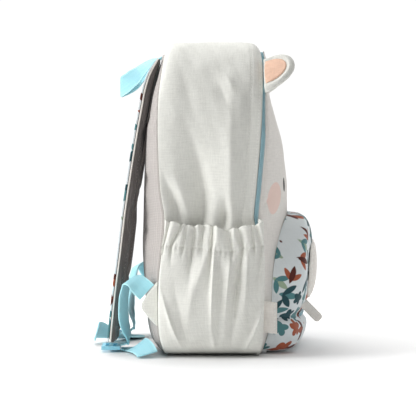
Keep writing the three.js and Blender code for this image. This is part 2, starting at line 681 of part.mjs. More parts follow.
// Triangular tab: upright, with its long edge in the back seam and its rounded point to the rear.
function strapTab(side) {
  const { reach, tip, round, thickness } = STRAP_TAB;
  const shape = new THREE.Shape();
  shape.moveTo(0, STRAP_TAB.bottom);
  shape.lineTo(reach - round / 2, tip - round);
  shape.quadraticCurveTo(reach, tip, reach - round / 2, tip + round);
  shape.lineTo(0, STRAP_TAB.top);
  const options = { depth: thickness, bevelEnabled: false, curveSegments: 4 };
  const solid = new THREE.ExtrudeGeometry(shape, options);
  solid.rotateX(Math.PI / 2);
  solid.rotateZ(Math.PI / 2);
  const x = side > 0 ? BODY.halfWidth + GAP : -BODY.halfWidth - GAP - thickness;
  return solid.translate(x, STRAP_TAB.y, 0);
}

function sideLabel() {
  const at = (u, v, depth) => {
    const y = -THREE.MathUtils.lerp(LABEL.start, LABEL.end, u);
    const wave = LABEL.wave * (Math.sin(Math.PI * u) + 0.75 * u * Math.sin(2 * Math.PI * v));
    const z = THREE.MathUtils.lerp(LABEL.bottom, LABEL.top, v) - LABEL.droop * u;
    return new THREE.Vector3(-BODY.halfWidth - LABEL.gap - wave - depth, y, z);
  };
  return sheetSolid(3, 4, (u, v) => at(u, v, LABEL.thickness), (u, v) => at(u, v, 0));
}

// Carrying loop at the top of the back: one half's rows, then the same mirrored and turned round.
function handle() {
  const turned = ({ ax, ay, ...row }) => ({ ...row, ax: -ax, ay: -ay });
  const otherHalf = mirrored(HANDLE_ROWS).reverse().slice(1).map(turned);
  return stripSolid([...HANDLE_ROWS, ...otherHalf], flatSection(WEBBING.width, WEBBING.thickness), 26);
}

// Zip slider on the wearer's right: a small block over the coil with a flat pull hanging from it.
function zipSlider() {
  const { z, length, width, height, pull, plate } = ZIP_SLIDER;
  const side = new THREE.Shape();
  side.moveTo(0, length / 2);
  side.lineTo(height, length / 4);
  side.lineTo(height, -pull);
  side.lineTo(height - plate, -pull);
  side.lineTo(height - plate, -length / 2);
  side.lineTo(0, -length / 2);
  const solid = new THREE.ExtrudeGeometry(side, { depth: width, bevelEnabled: false });
  solid.rotateX(Math.PI / 2);
  const y = (bandFront(z) + frontSeam(z)) / 2;
  return solid.translate(BODY.halfWidth + ZIP_SLIDER.lift, y + width / 2, z);
}

const bag = new THREE.Group();
bag.name = "kids_backpack";

function add(name, geometry, material) {
  const mesh = new THREE.Mesh(geometry, MATERIALS[material]);
  mesh.name = name;
  bag.add(mesh);
}

add("side_band", sideBand(), "canvas");
add("base_panel", basePanel(), "canvas");
add("front_panel", frontPanel(), "canvas");
add("back_panel", backPanel(), "back_cloth");
add("main_zip", mainZip(), "zip_teal");
add("zip_slider", zipSlider(), "zip_teal");
add("front_pocket", frontPocket(), "print");
add("pocket_patch", pocketPatch(), "cream");
add("pocket_zip", pocketZip(), "zip_teal");
add("pocket_pull", pocketPull(), "cream");
add("side_label", sideLabel(), "cream");
add("handle", handle(), "webbing_blue");

for (const [word, side] of Object.entries(SIDES)) {
  const webbingRows = side > 0 ? WEBBING_ROWS : mirrored(WEBBING_ROWS);
  const tailRows = side > 0 ? RIGHT_TAIL_ROWS : LEFT_TAIL_ROWS;
  const webbing = flatSection(WEBBING.width, WEBBING.thickness);
  add(`ear_${word}`, ear(side), "canvas");
  add(`ear_lining_${word}`, earLining(side), "peach");
  add(`side_pocket_${word}`, sidePouch(side), "canvas");
  add(`strap_pad_${word}`, strapPad(side), "strap_grey");
  add(`strap_facing_${word}`, strapFacing(side), "print");
  add(`strap_slider_${word}`, strapSlider(side), "slider_blue");
  add(`strap_tab_${word}`, strapTab(side), "canvas");
  add(`webbing_${word}`, stripSolid(webbingRows, webbing, 28), "webbing_blue");
  add(`webbing_tail_${word}`, stripSolid(tailRows, webbing, 18), "webbing_blue");
}

export default bag;
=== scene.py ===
from types import SimpleNamespace

import bmesh
import bpy
import numpy as np
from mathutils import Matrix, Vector


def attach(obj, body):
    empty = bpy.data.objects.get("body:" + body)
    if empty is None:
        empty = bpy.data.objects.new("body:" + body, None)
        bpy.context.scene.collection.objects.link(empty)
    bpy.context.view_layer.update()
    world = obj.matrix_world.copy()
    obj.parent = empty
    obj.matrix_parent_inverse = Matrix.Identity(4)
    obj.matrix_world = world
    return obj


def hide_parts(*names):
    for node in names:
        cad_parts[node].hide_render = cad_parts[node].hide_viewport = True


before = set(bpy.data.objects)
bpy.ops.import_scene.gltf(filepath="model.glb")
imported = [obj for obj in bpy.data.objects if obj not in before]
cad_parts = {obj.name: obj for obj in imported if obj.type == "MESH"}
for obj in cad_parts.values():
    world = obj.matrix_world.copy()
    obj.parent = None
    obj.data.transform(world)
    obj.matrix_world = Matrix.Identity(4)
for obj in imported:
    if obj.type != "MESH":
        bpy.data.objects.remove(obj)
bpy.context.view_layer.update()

# Sizes are in millimetres, as in the solids. +Z is up, the front faces -Y, the wearer's left is -X.
MM = 0.001
CANVAS = 1.8  # wall of the bag's cloth
GAP = 0.3  # room left at a seam between two pieces
PANEL_GAP = 0.3  # the same behind the front panel
FRONT_STEP = 0.2  # how far the front panel's edge stands before its seam
FRONT_STITCH = 3.2  # how far inside the front panel's edge it is sewn
SIDES = {"left": -1, "right": 1}


def columns(names, *rows):
    """A short table as one array per named column, with the number of each row in the column 'row'."""
    named = dict(zip(names.split(), np.array(rows, float).T))
    return {"row": np.arange(len(rows), dtype=float), **named}


# Outline of the bag from the front, and the height where the base is sewn to the band.
BODY = SimpleNamespace(half_width=112, height=294, top_radius=80, base_radius=24, base_seam=8)
# The band's crown falls to its edges by a power of the width, which grows between two heights near the top.
CROWN = SimpleNamespace(power=3.6, added_power=9, low=225, high=290)
# The band by height: where its back and front edges run, and how far its middle stands out.
BAND = columns(
    "z back front crown",
    (0, 41, -43.5, 0),
    (20, 46.5, -46, 2),
    (45, 48, -46.5, 4),
    (75, 47, -46, 4),
    (130, 41.5, -43.5, 2),
    (160, 45.5, -46, 3),
    (200, 47.5, -49.5, 4),
    (245, 47.5, -52.3, 6.5),
    (275, 44.5, -53.3, 9),
    (294, 42, -52, 10),
)
# Folds in the two sides of the band: middle, slope and bend of y over z, half width towards the back and
# towards the front, half length, and depth, which is below 0 for a hollow.
SIDE_FOLDS = columns(
    "y z lean bend backward forward length depth",
    (5, 146, 0, 0.0025, 15, 8.5, 46, -12),
    (-5, 146, 0, 0.003, 7, 14, 34, 1.6),
    (33.5, 150, 0.37, 0, 7, 5, 20, -10),
    (25, 153, 0.36, 0, 5.5, 10, 20, 3),
    (-21.5, 178, 0, 0, 13, 9, 56, 6),
    (-15, 248, 0.47, 0, 8, 5, 10, -2.2),
    (-21, 256.5, 0.5, 0, 5, 5, 7, 2),
    (-16, 134, 0, 0, 7, 6, 13, -9),
    (12, 195, 0.1, 0, 26, 26, 55, -2.5),
    (-28, 214, 0.2, 0, 12, 8, 22, -1.2),
    (20, 250, 0.3, 0, 14, 12, 26, -1.2),
)
# Soft unevenness of the cloth: its depth, the length of its waves, and the seed of its draws.
BAND_UNEVEN = SimpleNamespace(depth=0.25, length=26, seed=3)
FRONT_UNEVEN = SimpleNamespace(depth=0.35, length=60, seed=5)
POUCH_UNEVEN = SimpleNamespace(depth=0.7, length=45, seed=11)
# Air pressed into the filled pieces when they run as cloth, and the number of steps of the run.
AIR = SimpleNamespace(pressure=4, steps=20)

# Flat strip beside the zip: its width, the slope behind it, how far it stands out, its two rows of
# stitches, and the heights where it starts to run out and is gone.
STRIP = SimpleNamespace(
    width=13, reach=10, level=0.6, stitch=3.2, far_stitch=11.2, stitch_depth=0.35, stitch_width=0.7,
    full=225, gone=262,
)
# Main zip: its tape, how far that is crowned and sunk, the height where each end runs out, the pitch of its
# teeth, its coil's share of the width and how far it is sunk, and the share of the width that turns to the
# front between two heights near the top, where the tape also tips inwards.
ZIP = SimpleNamespace(
    width=4.2, tape=0.8, crown=0.35, sunk=0.6, end=123, fade=12, pitch=1.9, coil=0.74, coil_sunk=0.1,
    turned=0.62, low=205, high=250, tip=2.2,
)
# A tooth: length as a share of the pitch, width and place as shares of the coil's width, its height, and
# how far it closes at its ends.
TOOTH = SimpleNamespace(length=0.62, width=0.56, place=0.2, height=1.3, closing=0.85)

# Middle lines of the front and the back by height.
FRONT = columns(
    "z y",
    (0, -54.5), (8, -61), (25, -71), (60, -78.5), (137, -80), (172, -78.5),
    (197, -75.5), (227, -69.5), (254, -63.5), (278, -60.6), (294, -59.4),
)
BACK = columns(
    "z y",
    (0, 46), (15, 55), (32, 59), (70, 62), (100, 63.8), (125, 63.3),
    (178, 61.8), (212, 60), (238, 56.6), (254, 53.6), (272, 48.6), (294, 45),
)
# Padded back: its rim, thickness, fall to the rim by a power of the width, sewn line, the height above
# which it lies under the straps, and the spare cloth and longest move of its cloth run.
BACK_PAD = SimpleNamespace(
    rim=2.2, tuck=1, thickness=9, power=5, seam=9, groove=0.8, groove_width=1.6, top=225,
    slack=0.012, cap=1,
)
# The front domes from its seam to its middle by a power of the width: rounder near the edge higher up.
DOME = SimpleNamespace(low_power=2, high_power=2.8, low=120, high=165)
# Puckers along the front's seam, and one slanting crease beside the zip.
PUCKER = SimpleNamespace(pitch=8.5, depth=0.5, reach=7)
CREASE = SimpleNamespace(z=146, rim=6, slope=0.9, width=2.6, reach=9, depth=1.1)

# Face on the front panel: middle and half sizes of each eye and cheek, on the wearer's right.
EYE = SimpleNamespace(x=60, z=163.5, half_width=4.8, half_height=6.8)
CHEEK = SimpleNamespace(x=88.5, z=151, half_width=15, half_height=15.5)

# Pouch on the front: its arched seam, the gap to the panel, and how far its face falls back at the sides.
POUCH = SimpleNamespace(
    half_width=92, bottom=1.5, top=133.5, top_radius=76, bottom_radius=14, seam_gap=0.35, side_fall=14
)
# The pouch from foot to top: height, share of the way from its seam to its face, and the face.
POUCH_ROWS = columns(
    "z lift face",
    (2.6, 0, -88),
    (2.3, 0.5, -88),
    (3.2, 0.87, -90),
    (8, 1, -94),
    (18, 1, -98),
    (27, 1, -98.5),
    (35.5, 1, -93.5),
    (44, 1, -98.5),
    (58, 1, -102),
    (78, 1, -104),
    (100, 1, -104),
    (115, 1, -103),
    (126, 0.97, -100.5),
    (132, 0.82, -98),
    (134, 0.42, -95),
    (133.5, 0, -94),
)
# Those of its rows between which the height only rises.
POUCH_FACE = {name: values[2:14] for name, values in POUCH_ROWS.items()}
# The pouch from a side to its middle: share of the half width, and share of the way to its face.
POUCH_COLUMNS = columns(
    "across lift", (1, 0), (1, 0.36), (0.99, 0.7), (0.95, 0.92), (0.85, 1), (0.62, 1), (0.32, 1), (0, 1)
)
# The pouch's waist at its zip: shares by which a soft dip and a crease draw it in, and its small gathers,
# uneven in their pitch, which start clear of the zip and run out towards the sides.
WAIST = SimpleNamespace(dip=0.03, dip_reach=3.5, crease=0.012, crease_reach=0.9)
WAIST_GATHERS = SimpleNamespace(
    pitch=11, uneven=1.5, uneven_length=17, depth=0.25, clear=2, start=6, reach=11, plain=78, full=58
)
# Filled patch on the pouch: an oval whose lower half is drawn fuller by a power, with an edge that rises
# over a share of the way in.
PATCH = SimpleNamespace(
    z=78, half_width=55, half_height=29.5, lower_power=4, edge=1.4, edge_share=0.05, puff=3.4, gap=0.5,
    seam=3, groove=0.7, groove_width=1.1, slack=0.008, cap=0.7,
)
# The pouch's zip: its place and tape, its coil's share of the width, and how far both stand out.
POUCH_ZIP = SimpleNamespace(
    z=35.5, half_width=60, width=4.6, tape=0.6, crown=0.3, gap=1.9, stand=0.5, coil=0.66, coil_stand=0.9
)
# Cloth pull at the near end of the pouch's zip: its round end starts at a share of the length.
PULL = SimpleNamespace(
    x=-60, z=47, length=23, width=9.4, thickness=2.2, squareness=0.45, gap=0.4, sway=3,
    round_from=0.82, tip=0.35, stitch=1.6,
)

# Gathered pouch on each side: its wall, the gaps to the band inside it and at its sewn edges, the share of
# the way to an edge where that is sewn, and its reach over the front seam between two shares of its height.
SIDE_POUCH = SimpleNamespace(
    bottom=1.8, full_height=117, wall=1.8, gap=0.45, edge_gap=0.15, sewn_from=0.93, back_inset=0.5,
    front_reach=3, reach_from=0.25, reach_full=0.9, across=96,
)
# Its soft unevenness: depth, waves across, their length upwards, and the seed of the draws.
SIDE_POUCH_UNEVEN = SimpleNamespace(depth=0.3, waves=3.4, length=28, seed=4)
# Puckers along the elastic, uneven in their pitch, and its groove.
ELASTIC = SimpleNamespace(pitch=4.1, uneven=2, waves=9, pucker=0.45, reach=5, groove=0.8, groove_width=1.6)
# The ruffle above the elastic: where it sets in and is full, how far it flares, sways along the band and is
# nicked by the gathers, its uneven top edge, and the hem along that.
RUFFLE = SimpleNamespace(
    low=-2, high=9, flare=1.1, sway=0.9, sways=7.3, nick=0.4, uneven=0.4, waves=5, seed=2,
    hem=0.4, hem_low=3.2, hem_high=1.2,
)
# Heights of the wavy top edge and of the elastic, by share across from back to front.
SIDE_POUCH_EDGES = columns(
    "share top elastic",
    (0, 131, 107),
    (0.14, 131, 106.5),
    (0.3, 128, 105.2),
    (0.42, 127, 104.3),
    (0.53, 126.6, 103.2),
    (0.62, 123.6, 101.4),
    (0.69, 124.4, 102),
    (0.77, 126.6, 105),
    (0.88, 129.4, 106.6),
    (1, 132, 109),
)
# Bulge of the side pouch by share of its height.
SIDE_POUCH_ROWS = columns(
    "up lift",
    (0, 1), (0.025, 8.5), (0.06, 12.5), (0.12, 13.5), (0.22, 14),
    (0.45, 16), (0.68, 14), (0.82, 11.5), (0.9, 11.5), (1, 12.5),
)
# Bend of the side pouch from back to front: place across the band, and share of the bulge.
SIDE_POUCH_BEND = columns(
    "share across lift",
    (0, 0, 0),
    (0.05, 0, 0.5),
    (0.12, 0.02, 0.85),
    (0.3, 0.22, 0.98),
    (0.5, 0.47, 1),
    (0.7, 0.72, 0.98),
    (0.88, 0.97, 0.85),
    (0.95, 1.02, 0.5),
    (1, 0.98, 0),
)
# A gather: place across at the elastic and at the top edge, half width, depth, how far it runs down, slope.
GATHERS = columns(
    "at top width depth reach lean",
    (0.097, 0.15, 0.022, 4.5, 9, 0.001),
    (0.18, 0.255, 0.02, 5.5, 9, 0.0012),
    (0.285, 0.31, 0.016, 2.6, 6, 0),
    (0.36, 0.362, 0.022, 5.5, 20, 0),
    (0.445, 0.45, 0.02, 3.2, 7, 0),
    (0.51, 0.515, 0.018, 6, 26, 0),
    (0.677, 0.64, 0.036, 6.5, 9, 0),
    (0.757, 0.73, 0.02, 5.8, 45, -0.001),
    (0.835, 0.82, 0.016, 4, 7, 0.0005),
    (0.895, 0.855, 0.02, 5.6, 30, -0.0008),
    (0.955, 0.965, 0.014, 3.5, 8, 0),
)
# How gathers open into the ruffle, in width and depth, and how they widen and fade below the elastic.
GATHER_RUN = SimpleNamespace(opened=0.3, deeper=0.2, widened=60, fade=1.6)
# Long folds of the pouch below the elastic: place across and height of the middle, slope, sizes, depth.
POUCH_FOLDS = columns(
    "at z lean width length depth",
    (0.535, 68, 0, 0.024, 34, 4.4),
    (0.59, 66, 0, 0.04, 32, -3.2),
    (0.655, 70, 0.0004, 0.03, 32, 3.2),
    (0.715, 60, 0.0006, 0.036, 34, -5),
    (0.785, 70, 0.0002, 0.036, 30, 3.4),
    (0.21, 36, -0.0028, 0.024, 24, 3.2),
    (0.295, 40, -0.0018, 0.06, 26, -2.6),
    (0.875, 34, 0.0031, 0.024, 32, 3.2),
    (0.8, 22, 0.003, 0.06, 16, -1.8),
    (0.1, 76, -0.001, 0.05, 26, 2),
    (0.44, 82, 0.002, 0.05, 18, 2),
    (0.55, 12, 0, 0.03, 8, 2.2),
    (0.38, 60, 0.001, 0.05, 30, 1.6),
)

# Ears: where they stand on the seam, their size, turn and skew, and the filled roll near their outline.
EAR = SimpleNamespace(
    seam_height=268.3, behind=1, half_base=21.5, length=30, outward=0.21, skew=0.22, cup=3, rim=4.4,
    gap=0.7, fullness=2.5, roll=1.9, roll_at=0.84, roll_width=0.13, closing=9, slack=0.01, cap=0.6,
)
# Inside of an ear: shares of the ear's reach and turn that it covers, how close to the base it comes, the
# share over which its edge rises, and its gap and thickness, at the rim and added inside that.
EAR_LINING = SimpleNamespace(reach=0.69, turn=0.97, base=0.04, edge=0.06, gap=0.3, rim=0.05, added=0.9)

# Straps: padding with powers that square its section and an end that closes, printed facing that stands a
# little wider and turns down over both edges, corded edge, sewn line, and the cloth run.
STRAP = SimpleNamespace(
    width=46, thickness=8.6, across_power=0.35, out_power=0.45, end=0.025, blunt=0.3, facing=0.9, gap=0.2,
    wider=1.012, wrap=1.6, turn_down=0.5, turn_power=8, piping=0.8, stitch=7, slack=0.015, cap=1,
)
# Middle line of the right strap from the top down, and its share of the full thickness.
STRAP_ROWS = columns(
    "x y z thick",
    (46, 48.4, 285, 0.35),
    (46.5, 52, 277.5, 0.6),
    (47.8, 55.9, 268, 0.85),
    (49.5, 59.7, 254, 1),
    (51.5, 62.6, 238, 1),
    (55, 67.2, 212, 1),
    (58.5, 73.3, 173, 1),
    (61, 78.4, 138, 1),
    (62, 83.9, 92, 1),
    (62, 88.1, 60, 1),
    (62, 91.4, 28, 1),
    (62, 93, 11, 1),
)

# Webbing: points of its middle line, and its width direction at each.
WEBBING = SimpleNamespace(width=20, thickness=1.6)
WEBBING_ROWS = columns(
    "x y z ax ay az",
    (114.4, 58.2, 62, 0, -0.54, 0.84),
    (113.6, 63.4, 66.8, -0.25, -0.5, 0.8),
    (110, 70, 73, -0.75, -0.35, 0.5),
    (104, 76.5, 72, -0.95, -0.3, 0.15),
    (97, 80.5, 60, -0.93, -0.36, 0),
    (89, 82, 42, -0.93, -0.36, 0),
    (78, 80.5, 28, -0.95, -0.3, 0),
    (68, 78, 18, -0.97, -0.15, 0),
    (62.4, 77.8, 11.5, -1, 0, 0),
    (62, 81, 7.6, -1, 0, 0),
    (62, 85.5, 6.6, -1, 0, 0),
)
LEFT_TAIL_ROWS = columns(
    "x y z ax ay az",
    (-62, 85.5, 2.4, 1, 0, 0),
    (-62, 81, 1.9, 1, 0, 0),
    (-64.5, 76, 2.6, 0.85, -0.4, 0.05),
    (-73, 71.5, 5, 0.5, -0.75, 0.3),
    (-90, 68, 8.6, 0.1, -0.75, 0.62),
    (-106, 63.5, 9, 0, -0.72, 0.62),
    (-118, 59.5, 6.6, 0.1, -0.8, 0.45),
    (-126, 57.5, 4.4, 0.2, -0.9, 0.25),
)
RIGHT_TAIL_ROWS = columns(
    "x y z ax ay az",
    (62, 85.5, 2.4, 1, 0, 0),
    (62, 81, 1.6, 1, 0, 0),
    (57, 76.5, 1.6, 0.6, -0.8, 0),
    (44, 77.5, 2, -0.1, -1, 0.05),
    (28, 88, 4, -0.5, -0.85, 0.15),
    (12, 101, 9, -0.6, -0.6, 0.5),
    (0, 110, 13, -0.45, -0.4, 0.8),
    (-12, 112, 14, -0.2, -0.2, 0.95),
)
HANDLE_ROWS = columns(
    "x y z ax ay az",
    (-12, 47.7, 289.5, 1, 0, 0),
    (-13.5, 55, 287, 0.95, -0.1, 0.25),
    (-18, 67.5, 276.5, 0.6, -0.3, 0.75),
    (-18, 78, 267, 0.2, -0.2, 0.95),
    (-11, 86, 261.5, 0, 0, 1),
    (0, 88, 260.5, 0, 0, 1),
    (11, 86, 261.5, 0, 0, 1),
    (18, 78, 267, 0.2, 0.2, 0.95),
    (18, 67.5, 276.5, 0.6, 0.3, 0.75),
    (13.5, 55, 287, 0.95, 0.1, 0.25),
    (12, 47.7, 289.5, 1, 0, 0),
)
# Triangular tab in each lower back seam: its place, taper, pillowed edge and sewn line.
STRAP_TAB = SimpleNamespace(
    y=49.2, tuck=1, top=72, tip=49, bottom=30, reach=14.5, thickness=3.4, taper=0.9, power=1.25,
    flat=0.55, edge=0.2, rim=16, stitch=2.2,
)
# Bare label in the left front seam: its place, droop and waves, the length that counts as free, sewn line.
LABEL = SimpleNamespace(
    bottom=24, top=54, start=52, end=66, thickness=1.3, gap=0.5, droop=2, wave=0.8, twist=0.75, free=12,
    stitch=1.8,
)
# Distance of a mark that a piece doesn't have.
FAR = 99.0


def mix(a, b, share):
    """Value at a share of the way from one to another."""
    return a + (b - a) * share


def smoothstep(value, low, high):
    """Step from 0 to 1 between two values, level at both ends: 3 squares less 2 cubes of the share."""
    t = np.clip((value - low) / (high - low), 0, 1)
    return t * t * (3 - 2 * t)


def hump(away, width):
    """Round bump of height 1 that falls off with the square of the distance over its half width."""
    return np.exp(-((away / width) ** 2))


def crest(away, width):
    """Crisper bump of height 1: falls off with the distance over its half width, rounded at its top."""
    rounding = 0.35
    return np.exp(rounding - np.sqrt(rounding**2 + 2 * (away / width) ** 2))


def smooth(rows, key, column, place):
    """Value of a column at a place: cubic pieces through the rows, each row's slope from its neighbours."""
    t, v = rows[key], rows[column]
    at = np.clip(place, t[0], t[-1])
    i = np.clip(np.searchsorted(t, at) - 1, 0, len(t) - 2)
    number = np.arange(len(t))
    before, after = np.maximum(number - 1, 0), np.minimum(number + 1, len(t) - 1)
    slope = (v[after] - v[before]) / (t[after] - t[before])
    span = t[i + 1] - t[i]
    s = (at - t[i]) / span
    ends = (1 + 2 * s) * (1 - s) ** 2 * v[i] + s * s * (3 - 2 * s) * v[i + 1]
    return ends + span * (s * (1 - s) ** 2 * slope[i] - s * s * (1 - s) * slope[i + 1])


def spread(rows, grid):
    """A table's columns by name, each ready to combine with every point of a grid."""
    shape = (-1,) + (1,) * np.ndim(grid)
    return SimpleNamespace(**{name: values.reshape(shape) for name, values in rows.items()})


def shares(across, up):
    """Two arrays of shares from 0 to 1 over a grid."""
    return np.meshgrid(np.linspace(0, 1, across), np.linspace(0, 1, up), indexing="ij")


def ripple(u, v, seed):
    """Soft unevenness between about -1 and 1: a sum of sine waves of seeded direction, length and phase."""
    waves = 9
    rng = np.random.default_rng(seed)
    angle, phase = rng.uniform(0, 2 * np.pi, (2, waves))
    length = rng.uniform(0.5, 1.6, waves)
    turn = 2 * np.pi * (u[..., None] * np.cos(angle) + v[..., None] * np.sin(angle)) / length
    return np.sin(turn + phase).sum(-1) / np.sqrt(waves)


def unevenness(cloth, u, v):
    """Unevenness of a cloth in mm, two ways along it: its depth times a ripple of its wave length."""
    return cloth.depth * ripple(u / cloth.length, v / cloth.length, cloth.seed)


def grid_normals(points):
    """Unit normal at each point of a grid: the cross product of its two directions."""
    normal = np.cross(np.gradient(points, axis=0), np.gradient(points, axis=1))
    return normal / np.maximum(np.linalg.norm(normal, axis=-1, keepdims=True), 1e-9)


def run_lengths(points, axis):
    """Distance along one direction of a grid from its first point."""
    step = np.linalg.norm(np.diff(points, axis=axis), axis=-1)
    first = np.zeros_like(np.take(step, [0], axis=axis))
    return np.concatenate([first, np.cumsum(step, axis=axis)], axis=axis)


def grid_faces(across, up):
    """Corner numbers of the four-sided faces of a grid of points."""
    i, j = np.meshgrid(np.arange(across - 1), np.arange(up - 1), indexing="ij")
    corner = i * up + j
    return np.stack([corner, corner + up, corner + up + 1, corner + 1], -1).reshape(-1, 4)


def set_in(outer, wall):
    """A grid moved along its normals by a wall: inwards, or outwards for a wall below 0."""
    return outer - grid_normals(outer) * wall


def shell(outer, inner, uv, marks=None):
    """Closed cloth or padding: an outer grid, an inner grid of the same steps and the rim between them."""
    across, up = outer.shape[:2]
    count = across * up
    number = np.arange(count).reshape(across, up)
    rim = np.concatenate([number[:, 0], number[-1, 1:], number[-2::-1, -1], number[0, -2:0:-1]])
    following = np.roll(rim, -1)
    faces = grid_faces(across, up)
    sides = np.stack([rim, following, following + count, rim + count], -1)
    return {
        "points": np.concatenate([outer.reshape(-1, 3), inner.reshape(-1, 3)]),
        "faces": np.concatenate([faces, faces[:, ::-1] + count, sides]).tolist(),
        "uv": np.tile(uv.reshape(-1, 2), (2, 1)),
        "marks": {name: np.tile(value.ravel(), 2) for name, value in (marks or {}).items()},
    }


def swept(path, across, section):
    """Closed strip: a closed section of (across, out) points carried along a path with a width direction.
    The out direction is square to both."""
    along = np.gradient(path, axis=0)
    along /= np.linalg.norm(along, axis=1, keepdims=True)
    across = across - along * (across * along).sum(1, keepdims=True)
    across /= np.linalg.norm(across, axis=1, keepdims=True)
    out = np.cross(along, across)
    rings = path[:, None] + across[:, None] * section[:, :1] + out[:, None] * section[:, 1:]
    steps, sides = rings.shape[:2]
    number = np.arange(steps * sides).reshape(steps, sides)
    following = np.roll(number, -1, axis=1)
    faces = np.stack([number[:-1], following[:-1], following[1:], number[1:]], -1).reshape(-1, 4)
    run = run_lengths(path[:, None], 0)
    uv = np.stack(np.broadcast_arrays(section[:, 0], run), -1)
    return {
        "points": rings.reshape(-1, 3),
        "faces": faces.tolist() + [number[0, ::-1].tolist(), number[-1].tolist()],
        "uv": uv.reshape(-1, 2),
        "marks": {},
    }


def rounded_section(width, thickness, squareness, sides=40):
    """Closed section like a flattened circle: cosine and sine drawn out by a power, so it lies flat."""
    turn = np.linspace(0, 2 * np.pi, sides, endpoint=False)
    wave = np.stack([np.cos(turn), np.sin(turn)], 1)
    return np.sign(wave) * np.abs(wave) ** squareness * np.array([width / 2, thickness / 2])


def copies(shape, faces, origins, axes):
    """One small shape repeated: each copy is its points along three axes of its own from its own origin."""
    points = origins[:, None] + np.einsum("pk,nkd->npd", shape, axes)
    offsets = np.arange(len(origins))[:, None, None] * len(shape)
    return {
        "points": points.reshape(-1, 3),
        "faces": (np.asarray(faces)[None] + offsets).reshape(-1, np.shape(faces)[1]).tolist(),
        "uv": np.tile(shape[:, :2], (len(origins), 1)),
        "marks": {},
    }


def joined(*surfaces):
    """Several surfaces as one: points, faces and marks one after the other."""
    starts = np.cumsum([0] + [len(s["points"]) for s in surfaces])
    return {
        "points": np.concatenate([s["points"] for s in surfaces]),
        "faces": [[i + k for i in f] for s, k in zip(surfaces, starts) for f in s["faces"]],
        "uv": np.concatenate([s["uv"] for s in surfaces]),
        "marks": {
            name: np.concatenate([s["marks"][name] for s in surfaces]) for name in surfaces[0]["marks"]
        },
    }


def curve(rows, names, steps):
    """Smooth path through the rows of a table: cubic pieces whose slopes allow for uneven spacing."""
    knots = np.stack([rows[name] for name in names.split()], 1)
    p = np.vstack([2 * knots[0] - knots[1], knots, 2 * knots[-1] - knots[-2]])
    place = np.linspace(0, len(knots) - 1, steps)
    i = np.minimum(place.astype(int), len(knots) - 2)
    t = (place - i)[:, None]
    spans = np.maximum(np.linalg.norm(np.diff(p, axis=0), axis=1, keepdims=True), 1e-6) ** 0.5
    a, b, c = spans[i], spans[i + 1], spans[i + 2]
    p0, p1, p2, p3 = p[i], p[i + 1], p[i + 2], p[i + 3]
    start = b * ((p1 - p0) / a - (p2 - p0) / (a + b) + (p2 - p1) / b)
    end = b * ((p2 - p1) / b - (p3 - p1) / (b + c) + (p3 - p2) / c)
    ends = (1 + 2 * t) * (1 - t) ** 2 * p1 + t * t * (3 - 2 * t) * p2
    return ends + t * (1 - t) ** 2 * start - t * t * (1 - t) * end


def sampled(grid, u, v):
    """Values of a coarse grid at shares across and up: cubic pieces through its points, both ways."""

    def weights(count, place):
        at = np.clip(place, 0, 1) * (count - 1)
        first = np.minimum(at.astype(int), count - 2)
        t = (at - first)[..., None]
        near = np.clip(first[..., None] + np.arange(-1, 3), 0, count - 1)
        parts = [-t + 2 * t**2 - t**3, 2 - 5 * t**2 + 3 * t**3, t + 4 * t**2 - 3 * t**3, t**3 - t**2]
        return near, 0.5 * np.concatenate(parts, -1)

    i, a = weights(grid.shape[0], u)
    j, b = weights(grid.shape[1], v)
    return np.einsum("...i,...j,...ijd->...d", a, b, grid[i[..., :, None], j[..., None, :]])


def blown_up(faces, steps, held, slack, cap):
    """Moves in mm of a filled piece's two faces when a coarse copy runs as cloth with air pressed in.
    The cloth is cut larger than the copy by the slack, held points stay, and a move ends at the cap."""
    outer, inner = faces(*shares(*steps))
    closed = shell(outer, inner, outer[..., :2])
    spots, number = np.unique(np.round(closed["points"], 3), axis=0, return_inverse=True)
    number = number.ravel()
    corners = [list(dict.fromkeys(number[face].tolist())) for face in closed["faces"]]
    mesh = bpy.data.meshes.new("trial")
    mesh.from_pydata((spots * MM).tolist(), [], [face for face in corners if len(face) > 2])
    turn_out(mesh)
    trial = bpy.data.objects.new("trial", mesh)
    scene = bpy.context.scene
    scene.collection.objects.link(trial)
    fixed = np.unique(number[held(outer, inner).ravel()])
    trial.vertex_groups.new(name="held").add(fixed.tolist(), 1.0, "REPLACE")
    cloth = trial.modifiers.new("cloth", "CLOTH")
    cloth.settings.vertex_group_mass = "held"
    cloth.settings.use_pressure = True
    cloth.settings.uniform_pressure_force = AIR.pressure
    cloth.settings.shrink_min = -slack
    cloth.settings.effector_weights.gravity = 0
    cloth.point_cache.frame_end = AIR.steps
    for step in range(1, AIR.steps + 1):
        scene.frame_set(step)
    ends = np.empty(spots.size)
    trial.evaluated_get(bpy.context.evaluated_depsgraph_get()).data.vertices.foreach_get("co", ends)
    moves = ends.reshape(-1, 3) / MM - spots
    moves *= np.minimum(1, cap / np.maximum(np.linalg.norm(moves, axis=1, keepdims=True), 1e-9))
    bpy.data.objects.remove(trial)
    bpy.data.meshes.remove(mesh)
    scene.frame_set(1)
    return moves[number].reshape(2, *outer.shape)


def turn_out(mesh):
    """Welds a mesh's poles and seams and turns its faces outwards."""
    work = bmesh.new()
    work.from_mesh(mesh)
    bmesh.ops.remove_doubles(work, verts=work.verts, dist=1e-6)
    bmesh.ops.dissolve_degenerate(work, edges=work.edges, dist=1e-7)
    bmesh.ops.recalc_face_normals(work, faces=work.faces)
    work.to_mesh(mesh)
    work.free()


